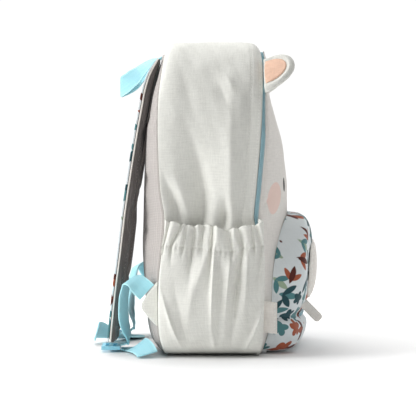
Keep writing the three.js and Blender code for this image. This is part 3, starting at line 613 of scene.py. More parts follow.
def add_piece(name, surface, material, nodes=()):
    """Blender object of a surface, with its measure, marks and material, tied to the frame."""
    mesh = bpy.data.meshes.new(name)
    mesh.from_pydata((surface["points"] * MM).tolist(), [], surface["faces"])
    corners = np.empty(len(mesh.loops), int)
    mesh.loops.foreach_get("vertex_index", corners)
    mesh.uv_layers.new(name="cloth").data.foreach_set("uv", surface["uv"][corners].ravel())
    for mark, values in surface["marks"].items():
        mesh.attributes.new(mark, "FLOAT", "POINT").data.foreach_set("value", values)
    turn_out(mesh)
    mesh.shade_smooth()
    mesh.materials.append(material)
    piece = bpy.data.objects.new(name, mesh)
    bpy.context.scene.collection.objects.link(piece)
    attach(piece, "root")
    if nodes:
        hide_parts(*nodes)
    return piece


BASE_RUN = BODY.half_width - BODY.base_radius
LOW_ROUND = np.pi / 2 * BODY.base_radius
UPRIGHT = BODY.height - BODY.top_radius - BODY.base_radius
SHOULDER = np.pi / 2 * BODY.top_radius
TOP_RUN = BODY.half_width - BODY.top_radius
HALF_ROUND = BASE_RUN + LOW_ROUND + UPRIGHT + SHOULDER + TOP_RUN


def seam_line(share):
    """Outline of the bag from the front, by share of its length from the middle of the base round the left.
    A half is a straight base, a quarter round, an upright, a larger quarter round and half of the top,
    laid end to end; the other half mirrors it. Gives x, z and the outward direction in x and z."""
    run = (1 - np.abs(2 * share - 1)) * HALF_ROUND
    base = np.clip(run, 0, BASE_RUN)
    low = np.clip(run - BASE_RUN, 0, LOW_ROUND) / BODY.base_radius
    rise = np.clip(run - BASE_RUN - LOW_ROUND, 0, UPRIGHT)
    shoulder = np.clip(run - HALF_ROUND + TOP_RUN + SHOULDER, 0, SHOULDER) / BODY.top_radius
    top = np.clip(run - HALF_ROUND + TOP_RUN, 0, TOP_RUN)
    side = np.where(share < 0.5, -1.0, 1.0)
    x = base + BODY.base_radius * np.sin(low) - BODY.top_radius * (1 - np.cos(shoulder)) - top
    z = BODY.base_radius * (1 - np.cos(low)) + rise + BODY.top_radius * np.sin(shoulder)
    return side * x, z, side * np.sin(low + shoulder), -np.cos(low + shoulder)


def left_share(z):
    """Share of the outline where its left side reaches a height below the shoulder."""
    round_run = np.arccos(np.clip(1 - z / BODY.base_radius, 0, 1)) * BODY.base_radius
    return (BASE_RUN + round_run + np.maximum(z - BODY.base_radius, 0)) / (2 * HALF_ROUND)


def corner_inset(radius, away):
    """How far a round corner lies inside its straight side, at a distance past the start of the round."""
    return radius - np.sqrt(radius**2 - np.clip(away, 0, radius) ** 2)


def half_width_at(z, tuck=0):
    """Half width at a height of the seam line, or of a line a tuck inside it, less its round corners."""
    low = corner_inset(BODY.base_radius - tuck, BODY.base_radius - z)
    high = corner_inset(BODY.top_radius - tuck, z - BODY.height + BODY.top_radius)
    return BODY.half_width - tuck - low - high


def back_seam(z):
    """Where the band's back edge runs at a height."""
    return smooth(BAND, "z", "back", z)


def zip_turn(z):
    """How far the front seam lies back near the top, where the zip turns to the front."""
    return (ZIP.width + GAP) * ZIP.turned * smoothstep(z, ZIP.low, ZIP.high)


def front_seam(z):
    """Where the front panel is sewn at a height: the band's front, the zip and a gap further on."""
    return smooth(BAND, "z", "front", z) - ZIP.width - GAP + zip_turn(z)


def band_front(z):
    """Front edge of the band: the front seam below the zip's end, the back edge of the zip above it."""
    width = ZIP.width + GAP - zip_turn(z)
    return front_seam(z) + width * smoothstep(z, ZIP.end - ZIP.fade, ZIP.end + ZIP.fade)


def side_folds(y, z):
    """Sum of the long folds: each a crest across a line that slopes and bends, fading along its length."""
    fold = spread(SIDE_FOLDS, z)
    dz = z - fold.z
    away = y - fold.y - fold.lean * dz - fold.bend * dz**2
    width = np.where(away > 0, fold.backward, fold.forward)
    return (fold.depth * crest(away, width) * hump(dz, fold.length)).sum(0)


def band_stand(z, across):
    """How far the band stands out from the seam line: its crown and folds, flattened towards both edges,
    and falling by a square to the flat strip beside the zip."""
    y = mix(back_seam(z), band_front(z), across)
    inset = y - band_front(z)
    fall = np.clip(1 - (inset - STRIP.width) / STRIP.reach, 0, 1) ** 2
    fall = fall * smoothstep(z, STRIP.gone, STRIP.full)
    power = CROWN.power + CROWN.added_power * smoothstep(z, CROWN.low, CROWN.high)
    flatten = 1 - np.abs(2 * across - 1) ** power
    full = (smooth(BAND, "z", "crown", z) + side_folds(y, z)) * flatten
    return mix(full, STRIP.level * smoothstep(inset, 0, 2), fall)


def no_stitch(shape):
    """Marks of a piece with no sewn line: the nearest stitch is far off everywhere."""
    return {"stitch": np.full(shape, FAR), "run": np.zeros(shape)}


def side_band():
    """Gusset: the seam line moved along its outward direction by the band's stand, a soft unevenness and
    the sunk rows of stitches, with an inner wall one canvas further in."""
    start = left_share(BODY.base_seam)
    u, v = shares(381, 97)
    share = mix(start, 1 - start, u)
    x, z, nx, nz = seam_line(share)
    y = mix(back_seam(z), band_front(z), v)
    run = share * 2 * HALF_ROUND
    stand = band_stand(z, v) + unevenness(BAND_UNEVEN, run, y) * (1 - np.abs(2 * v - 1) ** 4)
    inset = y - band_front(z)
    stitch = np.minimum(np.abs(inset - STRIP.stitch), np.abs(inset - STRIP.far_stitch))
    stand -= STRIP.stitch_depth * hump(stitch, STRIP.stitch_width)
    outer = np.stack([x + nx * stand, y, z + nz * stand], -1)
    inner = outer - CANVAS * np.stack([nx, np.zeros_like(x), nz], -1)
    return shell(outer, inner, np.stack([y, run], -1), {"stitch": stitch, "run": run})


def base_panel():
    """Bottom: the seam line between the band's two ends, drawn from the back seam to the front one."""
    end = left_share(BODY.base_seam) - GAP / (2 * HALF_ROUND)
    u, v = shares(121, 49)
    share = (1 + (2 * u - 1) * end) % 1
    x, z, _, _ = seam_line(share)
    y = mix(back_seam(z), front_seam(z), v)
    points = np.stack([x, y, z], -1)
    uv = np.stack([y, u * 2 * end * 2 * HALF_ROUND], -1)
    return shell(points, set_in(points, -CANVAS), uv, no_stitch(u.shape))


def panel_height(share):
    """Height of a panel's row: even steps along the upright side of the outline and its two rounds."""
    start = BASE_RUN / (2 * HALF_ROUND)
    end = 0.5 - TOP_RUN / (2 * HALF_ROUND)
    return seam_line(mix(start, end, share))[1]


def front_face(across, z):
    """Front panel's outer face: a dome from its seam to its middle line, by a power of the width."""
    edge = front_seam(z) - PANEL_GAP - CANVAS - FRONT_STEP
    power = mix(DOME.low_power, DOME.high_power, smoothstep(z, DOME.low, DOME.high))
    return mix(edge, smooth(FRONT, "z", "y", z) + zip_turn(z), 1 - np.abs(across) ** power)


def oval(x, z, place):
    """Distance in mm from the edge of an oval mark and of its twin on the other side; negative inside."""
    reach = np.hypot((np.abs(x) - place.x) / place.half_width, (z - place.z) / place.half_height)
    return (reach - 1) * min(place.half_width, place.half_height)


def front_panel():
    """Front: the dome with puckers along its seam, a crease and a soft unevenness, turned back to the seam
    over its last few millimetres by a square root."""
    u, v = shares(161, 181)
    across, z = 2 * u - 1, panel_height(v)
    x = across * half_width_at(z)
    rim = half_width_at(z) - np.abs(x)
    pucker = PUCKER.depth * np.sin(2 * np.pi * z / PUCKER.pitch) * hump(rim, PUCKER.reach)
    from_crease = rim - CREASE.rim
    crease = hump(z - CREASE.z - CREASE.slope * from_crease, CREASE.width) * hump(from_crease, CREASE.reach)
    y = front_face(across, z) + (pucker + CREASE.depth * crease) * smoothstep(rim, 0, 2)
    y = y + unevenness(FRONT_UNEVEN, x, z) * smoothstep(rim, 0, 14)
    y = mix(front_seam(z) - FRONT_STEP, y, np.sqrt(smoothstep(rim, -0.6, FRONT_STITCH)))
    points = np.stack([x, y, z], -1)
    marks = {"stitch": np.abs(rim - FRONT_STITCH), "run": z}
    marks |= {"eye": oval(x, z, EYE), "cheek": oval(x, z, CHEEK)}
    return shell(points, set_in(points, CANVAS), np.stack([x, z], -1), marks)


def back_faces(u, v):
    """Outer and inner face of the padded back: each from a rim tucked inside the band's edge to a full
    middle, by a power of the width."""
    across, height = 2 * u - 1, panel_height(v)
    tuck = CANVAS + GAP
    z = mix(tuck, BODY.height - tuck, height / BODY.height)
    seam = back_seam(z) - BACK_PAD.tuck
    pad = 1 - np.abs(across) ** BACK_PAD.power
    middle = smooth(BACK, "z", "y", z)
    x = across * half_width_at(z, tuck)
    outer = mix(seam + BACK_PAD.rim, middle, pad)
    inner = mix(seam, np.maximum(middle - BACK_PAD.thickness, seam), pad)
    return np.stack([x, outer, z], -1), np.stack([x, inner, z], -1)


def back_rim(points):
    """Distance of points from the bag's outline, straight across."""
    return half_width_at(points[..., 2]) - np.abs(points[..., 0])


def back_held(outer, inner):
    """The back keeps its inner face, its rim up to the sewn line, and the part under the straps' tops."""
    fixed = (back_rim(outer) < BACK_PAD.seam) | (outer[..., 2] > BACK_PAD.top)
    return np.stack([fixed, np.ones_like(fixed)])


def back_panel():
    """Padded back: its two faces blown up as cloth, with a groove along the sewn line."""
    u, v = shares(141, 161)
    moves = blown_up(back_faces, (41, 49), back_held, BACK_PAD.slack, BACK_PAD.cap)
    outer, inner = back_faces(u, v)
    rim = back_rim(outer)
    run = outer[..., 2]
    uv = outer[..., [0, 2]]
    outer = outer + sampled(moves[0], u, v)
    outer[..., 1] -= BACK_PAD.groove * hump(rim - BACK_PAD.seam, BACK_PAD.groove_width)
    return shell(outer, inner, uv, {"stitch": np.abs(rim - BACK_PAD.seam), "run": run})


def zip_tape(share):
    """Tape of the main zip between the band's front edge and the front seam, crowned by a sine across."""
    u, v = np.meshgrid(share, np.linspace(0, 1, 9), indexing="ij")
    x, z, nx, nz = seam_line(u)
    y = mix(band_front(z) - GAP, front_seam(z), v)
    stand = ZIP.crown * np.sin(np.pi * v) - ZIP.sunk - ZIP.tip * v * smoothstep(z, ZIP.low, ZIP.high)
    return np.stack([x + nx * stand, y, z + nz * stand], -1)


def main_zip():
    """Tape of the main zip from one end over the top to the other, as a thin closed strip."""
    start = left_share(ZIP.end)
    share = np.linspace(start, 1 - start, 301)
    points = zip_tape(share)
    uv = np.stack([points[..., 1], run_lengths(points, 0)], -1)
    return shell(points, set_in(points, -ZIP.tape), uv)


TOOTH_TURNS, TOOTH_LEVELS = np.meshgrid(np.linspace(0, 2 * np.pi, 9), np.linspace(-1, 1, 4), indexing="ij")


def tooth_shape(length, width, height):
    """Small pillow: rings of a flattened circle that close towards both ends of its width."""
    ring = np.sqrt(np.maximum(1 - TOOTH.closing * TOOTH_LEVELS**4, 0))
    grid = np.stack(
        [
            TOOTH_LEVELS * width / 2,
            np.cos(TOOTH_TURNS) * ring * length / 2,
            np.sin(TOOTH_TURNS) * ring * height / 2,
        ],
        -1,
    )
    return grid.reshape(-1, 3), grid_faces(*TOOTH_TURNS.shape)


def zip_teeth(path, across, out, width, pitch):
    """Two rows of teeth that meet in the middle of a zip, the second row half a pitch further on."""
    run = run_lengths(path[:, None], 0)[:, 0]
    places = np.arange(pitch, run[-1] - pitch, pitch / 2)
    side = np.where(np.arange(len(places)) % 2, 1.0, -1.0)[:, None]

    def at(values):
        return np.stack([np.interp(places, run, values[:, k]) for k in range(3)], 1)

    origin, wide, high = at(path), at(across), at(out)
    wide /= np.linalg.norm(wide, axis=1, keepdims=True)
    high /= np.linalg.norm(high, axis=1, keepdims=True)
    along = np.cross(high, wide)
    shape, faces = tooth_shape(pitch * TOOTH.length, width * TOOTH.width, TOOTH.height)
    origin = origin + wide * side * width * TOOTH.place
    return copies(shape, faces, origin, np.stack([wide, along, high], 1))


def main_zip_teeth():
    """Teeth along the middle of the main zip's tape, standing out from the seam line."""
    start = left_share(ZIP.end)
    share = np.linspace(start, 1 - start, 600)
    x, z, nx, nz = seam_line(share)
    y = (band_front(z) - GAP + front_seam(z)) / 2
    out = np.stack([nx, np.zeros_like(x), nz], 1)
    path = np.stack([x, y, z], 1) - ZIP.coil_sunk * out
    across = np.tile([0.0, -1.0, 0.0], (len(x), 1))
    return zip_teeth(path, across, out, ZIP.width * ZIP.coil, ZIP.pitch)


def pouch_half_width(z):
    """Half width of the pouch's arched seam at a height, less its two round corners."""
    low = corner_inset(POUCH.bottom_radius, POUCH.bottom + POUCH.bottom_radius - z)
    high = corner_inset(POUCH.top_radius, z - POUCH.top + POUCH.top_radius)
    return POUCH.half_width - low - high


def pouch_face(x, z):
    """The pouch's face: its middle line by height, which falls back to the sides by a square."""
    return smooth(POUCH_FACE, "z", "face", z) + POUCH.side_fall * (x / POUCH.half_width) ** 2


def front_pocket():
    """Pouch: a face by height that falls back to the sides, drawn to its seam on the panel by the lifts."""
    u, v = shares(281, 201)
    number = (1 - np.abs(2 * u - 1)) * (len(POUCH_COLUMNS["row"]) - 1)
    across = np.sign(2 * u - 1) * smooth(POUCH_COLUMNS, "row", "across", number)
    place = v * (len(POUCH_ROWS["row"]) - 1)
    z = smooth(POUCH_ROWS, "row", "z", place)
    lift = smooth(POUCH_COLUMNS, "row", "lift", number) * smooth(POUCH_ROWS, "row", "lift", place)
    from_zip = z - POUCH_ZIP.z
    drawn_in = WAIST.dip * hump(from_zip, WAIST.dip_reach)
    drawn_in = drawn_in + WAIST.crease * hump(from_zip, WAIST.crease_reach)
    x = across * pouch_half_width(z) * (1 - drawn_in)
    seam = front_face(x / half_width_at(z), z) - POUCH.seam_gap
    face = smooth(POUCH_ROWS, "row", "face", place) + POUCH.side_fall * (x / POUCH.half_width) ** 2
    uneven = WAIST_GATHERS.uneven * np.sin(x / WAIST_GATHERS.uneven_length)
    gather = np.sin(2 * np.pi * x / WAIST_GATHERS.pitch + uneven)
    gather = gather * smoothstep(np.abs(x), WAIST_GATHERS.plain, WAIST_GATHERS.full)
    clear = smoothstep(np.abs(from_zip), WAIST_GATHERS.clear, WAIST_GATHERS.start)
    gather = gather * hump(from_zip, WAIST_GATHERS.reach) * clear
    face = face + WAIST_GATHERS.depth * gather + unevenness(POUCH_UNEVEN, x, z)
    points = np.stack([x, mix(seam, face, lift), z], -1)
    middle = points.shape[0] // 2
    s = run_lengths(points, 0)
    s = s - s[middle]
    t = np.broadcast_to(run_lengths(points, 1)[middle], s.shape)
    uv = np.stack([s, t], -1)
    return shell(points, set_in(points, CANVAS), uv, print_marks(uv, 21))


def patch_way_in(x, z):
    """Share of the way from the patch's edge to its middle: an oval above, fuller below by a power."""
    across, up = np.abs(x) / PATCH.half_width, (z - PATCH.z) / PATCH.half_height
    power = np.where(up < 0, PATCH.lower_power, 2)
    return np.clip(1 - (across**power + np.abs(up) ** power) ** (1 / power), 0, 1)


def patch_faces(u, v):
    """Front and back of the filled patch: a square grid drawn into its outline, whose thickness grows with
    roots of the way in."""
    across, up = 2 * u - 1, 2 * v - 1
    power = np.where(up < 0, PATCH.lower_power, 2)
    square = np.maximum(np.abs(across), np.abs(up))
    around = (np.abs(across) ** power + np.abs(up) ** power) ** (1 / power)
    draw = square / np.maximum(around, 1e-9)
    x, z = PATCH.half_width * across * draw, PATCH.z + PATCH.half_height * up * draw
    way_in = patch_way_in(x, z)
    pad = PATCH.edge * np.sqrt(np.clip(way_in / PATCH.edge_share, 0, 1))
    pad = pad + PATCH.puff * np.sqrt(1 - (1 - way_in) ** 3)
    base = pouch_face(x, z) - PATCH.gap
    return np.stack([x, base - pad, z], -1), np.stack([x, base, z], -1)


def patch_held(front, back):
    """The patch keeps its back and its edge up to the sewn line."""
    fixed = patch_way_in(front[..., 0], front[..., 2]) * PATCH.half_height < PATCH.seam
    return np.stack([fixed, np.ones_like(fixed)])


def pocket_patch():
    """Filled patch on the pouch: its two faces blown up as cloth, with a groove along the sewn line."""
    u, v = shares(97, 73)
    moves = blown_up(patch_faces, (25, 19), patch_held, PATCH.slack, PATCH.cap)
    front, back = patch_faces(u, v)
    uv = front[..., [0, 2]]
    way_in = patch_way_in(uv[..., 0], uv[..., 1]) * PATCH.half_height
    run = np.abs(np.arctan2(uv[..., 0], uv[..., 1] - PATCH.z)) * PATCH.half_height
    front = front + sampled(moves[0], u, v)
    front[..., 1] += PATCH.groove * hump(way_in - PATCH.seam, PATCH.groove_width)
    return shell(front, back, uv, {"stitch": np.abs(way_in - PATCH.seam), "run": run})


def pocket_zip():
    """Tape of the pouch's zip: a strip along the waist of its face, crowned by a sine across."""
    u, v = shares(121, 7)
    x = (2 * u - 1) * POUCH_ZIP.half_width
    z = POUCH_ZIP.z + (v - 0.5) * POUCH_ZIP.width
    y = pouch_face(x, np.full_like(x, POUCH_ZIP.z)) - POUCH_ZIP.gap - POUCH_ZIP.stand
    y = y - POUCH_ZIP.crown * np.sin(np.pi * v)
    points = np.stack([x, y, z], -1)
    return shell(points, set_in(points, POUCH_ZIP.tape), np.stack([z, x], -1))


def pocket_zip_teeth():
    """Teeth along the middle of the pouch's zip, standing out from its face."""
    x = np.linspace(-POUCH_ZIP.half_width, POUCH_ZIP.half_width, 200)
    y = pouch_face(x, np.full_like(x, POUCH_ZIP.z)) - POUCH_ZIP.gap - POUCH_ZIP.coil_stand
    path = np.stack([x, y, np.full_like(x, POUCH_ZIP.z)], 1)
    across = np.tile([0.0, 0.0, 1.0], (len(x), 1))
    along = np.gradient(path, axis=0)
    return zip_teeth(path, across, np.cross(along, across), POUCH_ZIP.width * POUCH_ZIP.coil, ZIP.pitch)


def pocket_pull():
    """Cloth pull: a flat strip along a straight path forward and down from the near end of the zip, drawn
    in to a round end by the root of one less a square."""
    share = np.linspace(0, 1, 41)
    start = np.array([PULL.x, pouch_face(np.array(PULL.x), np.array(PULL.z)) - PULL.gap, PULL.z])
    way = np.array([-PULL.sway, -PULL.length * np.sqrt(0.5), -PULL.length * np.sqrt(0.5)])
    path = start + share[:, None] * way
    wide = np.tile([0.0, 0.7, -0.7], (len(share), 1))
    made = swept(path, wide, rounded_section(PULL.width, PULL.thickness, PULL.squareness))
    past = np.clip((share - PULL.round_from) / (1 - PULL.round_from), 0, 1)
    end = mix(PULL.tip, 1, np.sqrt(1 - past**2))
    rings = made["points"].reshape(len(share), -1, 3)
    made["points"] = (path[:, None] + (rings - path[:, None]) * end[:, None, None]).reshape(-1, 3)
    edge = PULL.width / 2 - np.abs(made["uv"][:, 0])
    made["marks"] = {"stitch": np.abs(edge - PULL.stitch), "run": made["uv"][:, 1]}
    return made


def pouch_edges(u):
    """Heights of a side pouch's elastic and of its top edge, which the gathers nick, by share across."""
    gather = spread(GATHERS, u)
    uneven = RUFFLE.uneven * ripple(u * RUFFLE.waves, np.zeros_like(u), RUFFLE.seed)
    top = smooth(SIDE_POUCH_EDGES, "share", "top", u) + uneven
    nicks = (RUFFLE.nick * gather.depth * crest(u - gather.top, gather.width)).sum(0)
    return smooth(SIDE_POUCH_EDGES, "share", "elastic", u), top - nicks


def pouch_gathers(u, z, elastic, top, ruffle):
    """Depth of the gathers: crests across that run from their places at the elastic to those at the top
    edge, open a little into the ruffle, and widen and run out below the elastic."""
    gather = spread(GATHERS, u)
    below = np.maximum(elastic - z, 0)
    rise = np.clip((z - elastic) / (top - elastic), 0, 1)
    place = mix(gather.at, gather.top, rise) + gather.lean * below
    width = gather.width * (1 + GATHER_RUN.opened * ruffle + below / GATHER_RUN.widened)
    fade = np.exp(-((below / gather.reach) ** GATHER_RUN.fade))
    depth = (gather.depth * crest(u - place, width) * fade).sum(0)
    return depth * (1 + GATHER_RUN.deeper * ruffle)


def pouch_folds(u, z):
    """Height of the long folds: crests across sloping lines, fading along their length."""
    fold = spread(POUCH_FOLDS, u)
    dz = z - fold.z
    return (fold.depth * crest(u - fold.at - fold.lean * dz, fold.width) * hump(dz, fold.length)).sum(0)


def side_pocket(side):
    """Gathered pouch: bulge by height, with the gathers, long folds, elastic and ruffle, times bend across,
    standing out from the band and drawn down to it at its two sewn edges."""
    u, v = shares(261, 181)
    elastic, top = pouch_edges(u)
    z = mix(SIDE_POUCH.bottom, top, v)
    from_elastic = z - elastic
    ruffle = smoothstep(from_elastic, RUFFLE.low, RUFFLE.high)
    lift = smooth(SIDE_POUCH_ROWS, "up", "lift", (z - SIDE_POUCH.bottom) / SIDE_POUCH.full_height)
    lift = lift - pouch_gathers(u, z, elastic, top, ruffle) + pouch_folds(u, z)
    uneven = ELASTIC.uneven * np.sin(ELASTIC.waves * u)
    pucker = np.sin(2 * np.pi * u * SIDE_POUCH.across / ELASTIC.pitch + uneven)
    lift = lift + ELASTIC.pucker * pucker * hump(from_elastic, ELASTIC.reach)
    lift = lift - ELASTIC.groove * hump(from_elastic, ELASTIC.groove_width) + RUFFLE.flare * ruffle
    soft = SIDE_POUCH_UNEVEN
    lift = lift + soft.depth * ripple(u * soft.waves, z / soft.length, soft.seed)
    lift = lift + RUFFLE.hem * smoothstep(top - z, RUFFLE.hem_low, RUFFLE.hem_high)
    across = smooth(SIDE_POUCH_BEND, "share", "across", u)
    reach = SIDE_POUCH.front_reach * smoothstep(v, SIDE_POUCH.reach_from, SIDE_POUCH.reach_full)
    sway = RUFFLE.sway * ruffle * np.sin(2 * np.pi * u * RUFFLE.sways) * np.sin(np.pi * u)
    y = mix(back_seam(z) - SIDE_POUCH.back_inset, front_seam(z) - reach, across) + sway
    sewn_edge = smoothstep(np.abs(2 * u - 1), SIDE_POUCH.sewn_from, 1)
    stand = half_width_at(z) + band_stand(z, np.clip(across, 0, 1))
    stand = stand + mix(SIDE_POUCH.gap + SIDE_POUCH.wall, SIDE_POUCH.edge_gap, sewn_edge)
    x = side * (stand + lift * smooth(SIDE_POUCH_BEND, "share", "lift", u))
    points = np.stack([x, y, z], -1)
    uv = np.stack([run_lengths(points, 0), z], -1)
    return shell(points, set_in(points, -side * SIDE_POUCH.wall), uv, no_stitch(u.shape))


def ear_point(side, sideways, out, off):
    """Point of an ear: sideways along the seam, out from it and off its middle sheet, leaning outwards."""
    middle = np.array([side * (BODY.half_width - BODY.top_radius), 0, BODY.height - BODY.top_radius])
    angle = np.arcsin((EAR.seam_height - middle[2]) / BODY.top_radius)
    cos, sin = np.cos(EAR.outward), np.sin(EAR.outward)
    normal = np.array([side * np.cos(angle), 0, np.sin(angle)])
    upward = np.array([-side * np.sin(angle), 0, np.cos(angle)])
    forward = np.array([0, -1.0, 0])
    axis = forward * cos + normal * sin
    face = normal * cos - forward * sin
    base = middle + normal * (BODY.top_radius + EAR.rim / 2 + EAR.gap)
    base[1] = front_seam(np.array(EAR.seam_height)) + EAR.behind
    round_back = sideways**2 / (2 * BODY.top_radius) * (1 - out)
    cup = EAR.cup * (sideways / EAR.half_base) ** 2 * out
    skewed = sideways + EAR.skew * out * EAR.length
    lift = cup - round_back + off
    places = np.stack([out * EAR.length, skewed, lift], -1)
    return base + places @ np.stack([axis, upward, face])


def ear_place(reach, turn):
    """Place on an ear, sideways and outwards, at a share of the way to its outline and a turn about its
    base: sine and cosine of the turn, the cosine drawn fuller by a power."""
    sideways = EAR.half_base * reach * np.sin(turn)
    return sideways, (reach * np.cos(turn)) ** (2 / EAR.fullness)


def ear_half(reach):
    """Half thickness of an ear: flat in the middle, a filled roll near the outline, closed at the seam."""
    roll = 0.5 * EAR.rim + EAR.roll * hump(reach - EAR.roll_at, EAR.roll_width)
    return roll * np.sqrt(np.clip(1 - reach**EAR.closing, 0, 1))


def ear_faces(side, u, v):
    """Two faces of an ear: rings about the middle of its base, set off both ways by its half thickness."""
    reach = np.sin(np.pi / 2 * v)
    sideways, out = ear_place(reach, (u - 0.5) * np.pi)
    off = ear_half(reach)
    return ear_point(side, sideways, out, off), ear_point(side, sideways, out, -off)


def ear_moves(side):
    """Moves of an ear's two faces blown up as cloth, with its base and outline held."""

    def held(front, back):
        fixed = np.zeros(front.shape[:2], bool)
        fixed[[0, -1]] = True
        fixed[:, [0, -1]] = True
        return np.stack([fixed, fixed])

    return blown_up(lambda u, v: ear_faces(side, u, v), (23, 13), held, EAR.slack, EAR.cap)


def ear(side, moves):
    """Ear: its two faces with the moves of the cloth run added."""
    u, v = shares(81, 41)
    front, back = ear_faces(side, u, v)
    uv = np.stack(ear_place(np.sin(np.pi / 2 * v), (u - 0.5) * np.pi), -1) * np.array([1, EAR.length])
    return shell(front + sampled(moves[0], u, v), back + sampled(moves[1], u, v), uv, no_stitch(u.shape))


def ear_lining(side, moves):
    """Peach inside of an ear: a smaller sheet of the same rings, which lies on the front and moves too."""
    u, v = shares(61, 25)
    reach = v * EAR_LINING.reach
    turn = (2 * u - 1) * np.pi / 2 * EAR_LINING.turn
    sideways, out = ear_place(reach, turn)
    out = np.maximum(out, EAR_LINING.base)
    edge = np.sqrt(np.clip((1 - v) / EAR_LINING.edge, 0, 1))
    off = ear_half(reach) + EAR_LINING.gap
    move = sampled(moves[0], turn / np.pi + 0.5, np.arcsin(reach) / (np.pi / 2))
    front = ear_point(side, sideways, out, off + EAR_LINING.rim + EAR_LINING.added * edge) + move
    back = ear_point(side, sideways, out, off) + move
    return shell(front, back, np.stack([sideways, out * EAR.length], -1), no_stitch(u.shape))


def strap_frame(side, steps):
    """Middle line of a strap, its width direction, and its outward direction scaled by the thickness."""
    path = curve(STRAP_ROWS, "x y z", steps) * np.array([side, 1, 1])
    place = np.linspace(0, len(STRAP_ROWS["row"]) - 1, steps)
    along = np.gradient(path, axis=0)
    along /= np.linalg.norm(along, axis=1, keepdims=True)
    wide = np.array([-1.0, 0.0, 0.0]) + along * along[:, :1]
    wide /= np.linalg.norm(wide, axis=1, keepdims=True)
    thick = np.interp(place, STRAP_ROWS["row"], STRAP_ROWS["thick"])
    return path, wide, np.cross(along, wide) * thick[:, None]


def strap_faces(side, u, v):
    """Outer and inner face of a strap's padding: a flattened circle across, closed by a root at its end."""
    path, wide, high = strap_frame(side, v.shape[1])
    turn = np.pi * (1 - u)
    across = np.sign(np.cos(turn)) * np.abs(np.cos(turn)) ** STRAP.across_power * STRAP.width / 2
    end = mix(STRAP.blunt, 1, np.sqrt(np.clip((1 - v) / STRAP.end, 0, 1)))
    half = np.sin(turn) ** STRAP.out_power * STRAP.thickness / 2 * end
    middle = path + wide * across[..., None]
    return middle + high * half[..., None], middle - high * half[..., None]


def strap_held(outer, inner):
    """A strap's padding keeps its outer face, its edges and ends, and the part close to the back."""
    fixed = inner[..., 2] > BACK_PAD.top
    fixed[[0, -1]] = True
    fixed[:, [0, -1]] = True
    return np.stack([np.ones_like(fixed), fixed])


def strap_pad(side):
    """Padding of a strap: its two faces, with the inner one blown up as cloth."""
    u, v = shares(65, 241)
    moves = blown_up(lambda a, b: strap_faces(side, a, b), (17, 61), strap_held, STRAP.slack, STRAP.cap)
    outer, inner = strap_faces(side, u, v)
    run = run_lengths(outer, 1)
    edge = np.minimum(run_lengths(inner, 0), run_lengths(inner[::-1], 0)[::-1])
    uv = np.stack([run_lengths(outer, 0), run], -1)
    marks = {"stitch": np.abs(edge - STRAP.stitch), "run": run}
    return shell(outer, inner + sampled(moves[1], u, v), uv, marks)


def strap_edge(side, across_share, out):
    """Line along a strap at a share across and a distance out of its middle sheet, at full thickness."""
    path, wide, high = strap_frame(side, 241)
    return path + wide * across_share * STRAP.width / 2 + high * out, wide


def strap_piping(side):
    """Corded edge between a strap's padding and its facing: a round section along both long edges."""
    section = rounded_section(2 * STRAP.piping, 2 * STRAP.piping, 1, 12)
    out = STRAP.thickness / 2 - STRAP.wrap - STRAP.piping
    lines = [strap_edge(side, share, out) for share in (-1.0, 1.0)]
    return joined(*(swept(line, wide, section) for line, wide in lines))


def strap_facing(side):
    """Printed outer face of a strap: a sheet over the padding that turns down over both its edges."""
    edge = STRAP.width / 2
    reach = np.linspace(-1, 1, 73) * (edge + STRAP.wrap)
    turned = STRAP.turn_down * (reach / (edge + STRAP.wrap)) ** STRAP.turn_power
    down = np.maximum(np.abs(reach) - edge, 0) + turned
    share = np.clip(reach / edge, -1, 1) * STRAP.wider
    out = STRAP.thickness / 2 + STRAP.gap + STRAP.facing - down
    points = np.stack([strap_edge(side, a, b)[0] for a, b in zip(share, out)], 0)
    uv = np.stack([np.broadcast_to(reach[:, None], points.shape[:2]), run_lengths(points, 1)], -1)
    return shell(points, set_in(points, -STRAP.facing), uv, print_marks(uv, 33 + side))


def webbing_strip(rows, side=1):
    """Flat woven band: a flattened section carried along the smooth path of a table's rows."""
    steps = 181
    flip = np.array([side, 1, 1])
    path = curve(rows, "x y z", steps) * flip
    across = curve(rows, "ax ay az", steps) * flip
    return swept(path, across, rounded_section(WEBBING.width, WEBBING.thickness, 0.35, 44))


def strap_tab(side):
    """Folded triangle of canvas: narrows by a power from its edge in the back seam to a blunt point, and is
    pillowed by a root of the way in."""
    u, v = shares(41, 41)
    taper = 1 - v**STRAP_TAB.power * STRAP_TAB.taper
    middle = mix((STRAP_TAB.top + STRAP_TAB.bottom) / 2, STRAP_TAB.tip, v)
    z = middle + (2 * u - 1) * (STRAP_TAB.top - STRAP_TAB.bottom) / 2 * taper
    y = STRAP_TAB.y - STRAP_TAB.tuck + v * (STRAP_TAB.reach + STRAP_TAB.tuck)
    rim = np.minimum(np.minimum(u, 1 - u) * 2 * taper, 1 - v)
    pillow = mix(STRAP_TAB.flat, 1, np.sqrt(np.clip(rim / STRAP_TAB.edge, 0, 1)))
    half = STRAP_TAB.thickness / 2 * pillow
    x = side * (BODY.half_width + GAP + STRAP_TAB.thickness / 2)
    front = np.stack([x + side * half, y, z], -1)
    back = np.stack([x - side * half, y, z], -1)
    marks = {"stitch": np.abs(rim * STRAP_TAB.rim - STRAP_TAB.stitch), "run": z}
    return shell(front, back, np.stack([y, z], -1), marks)


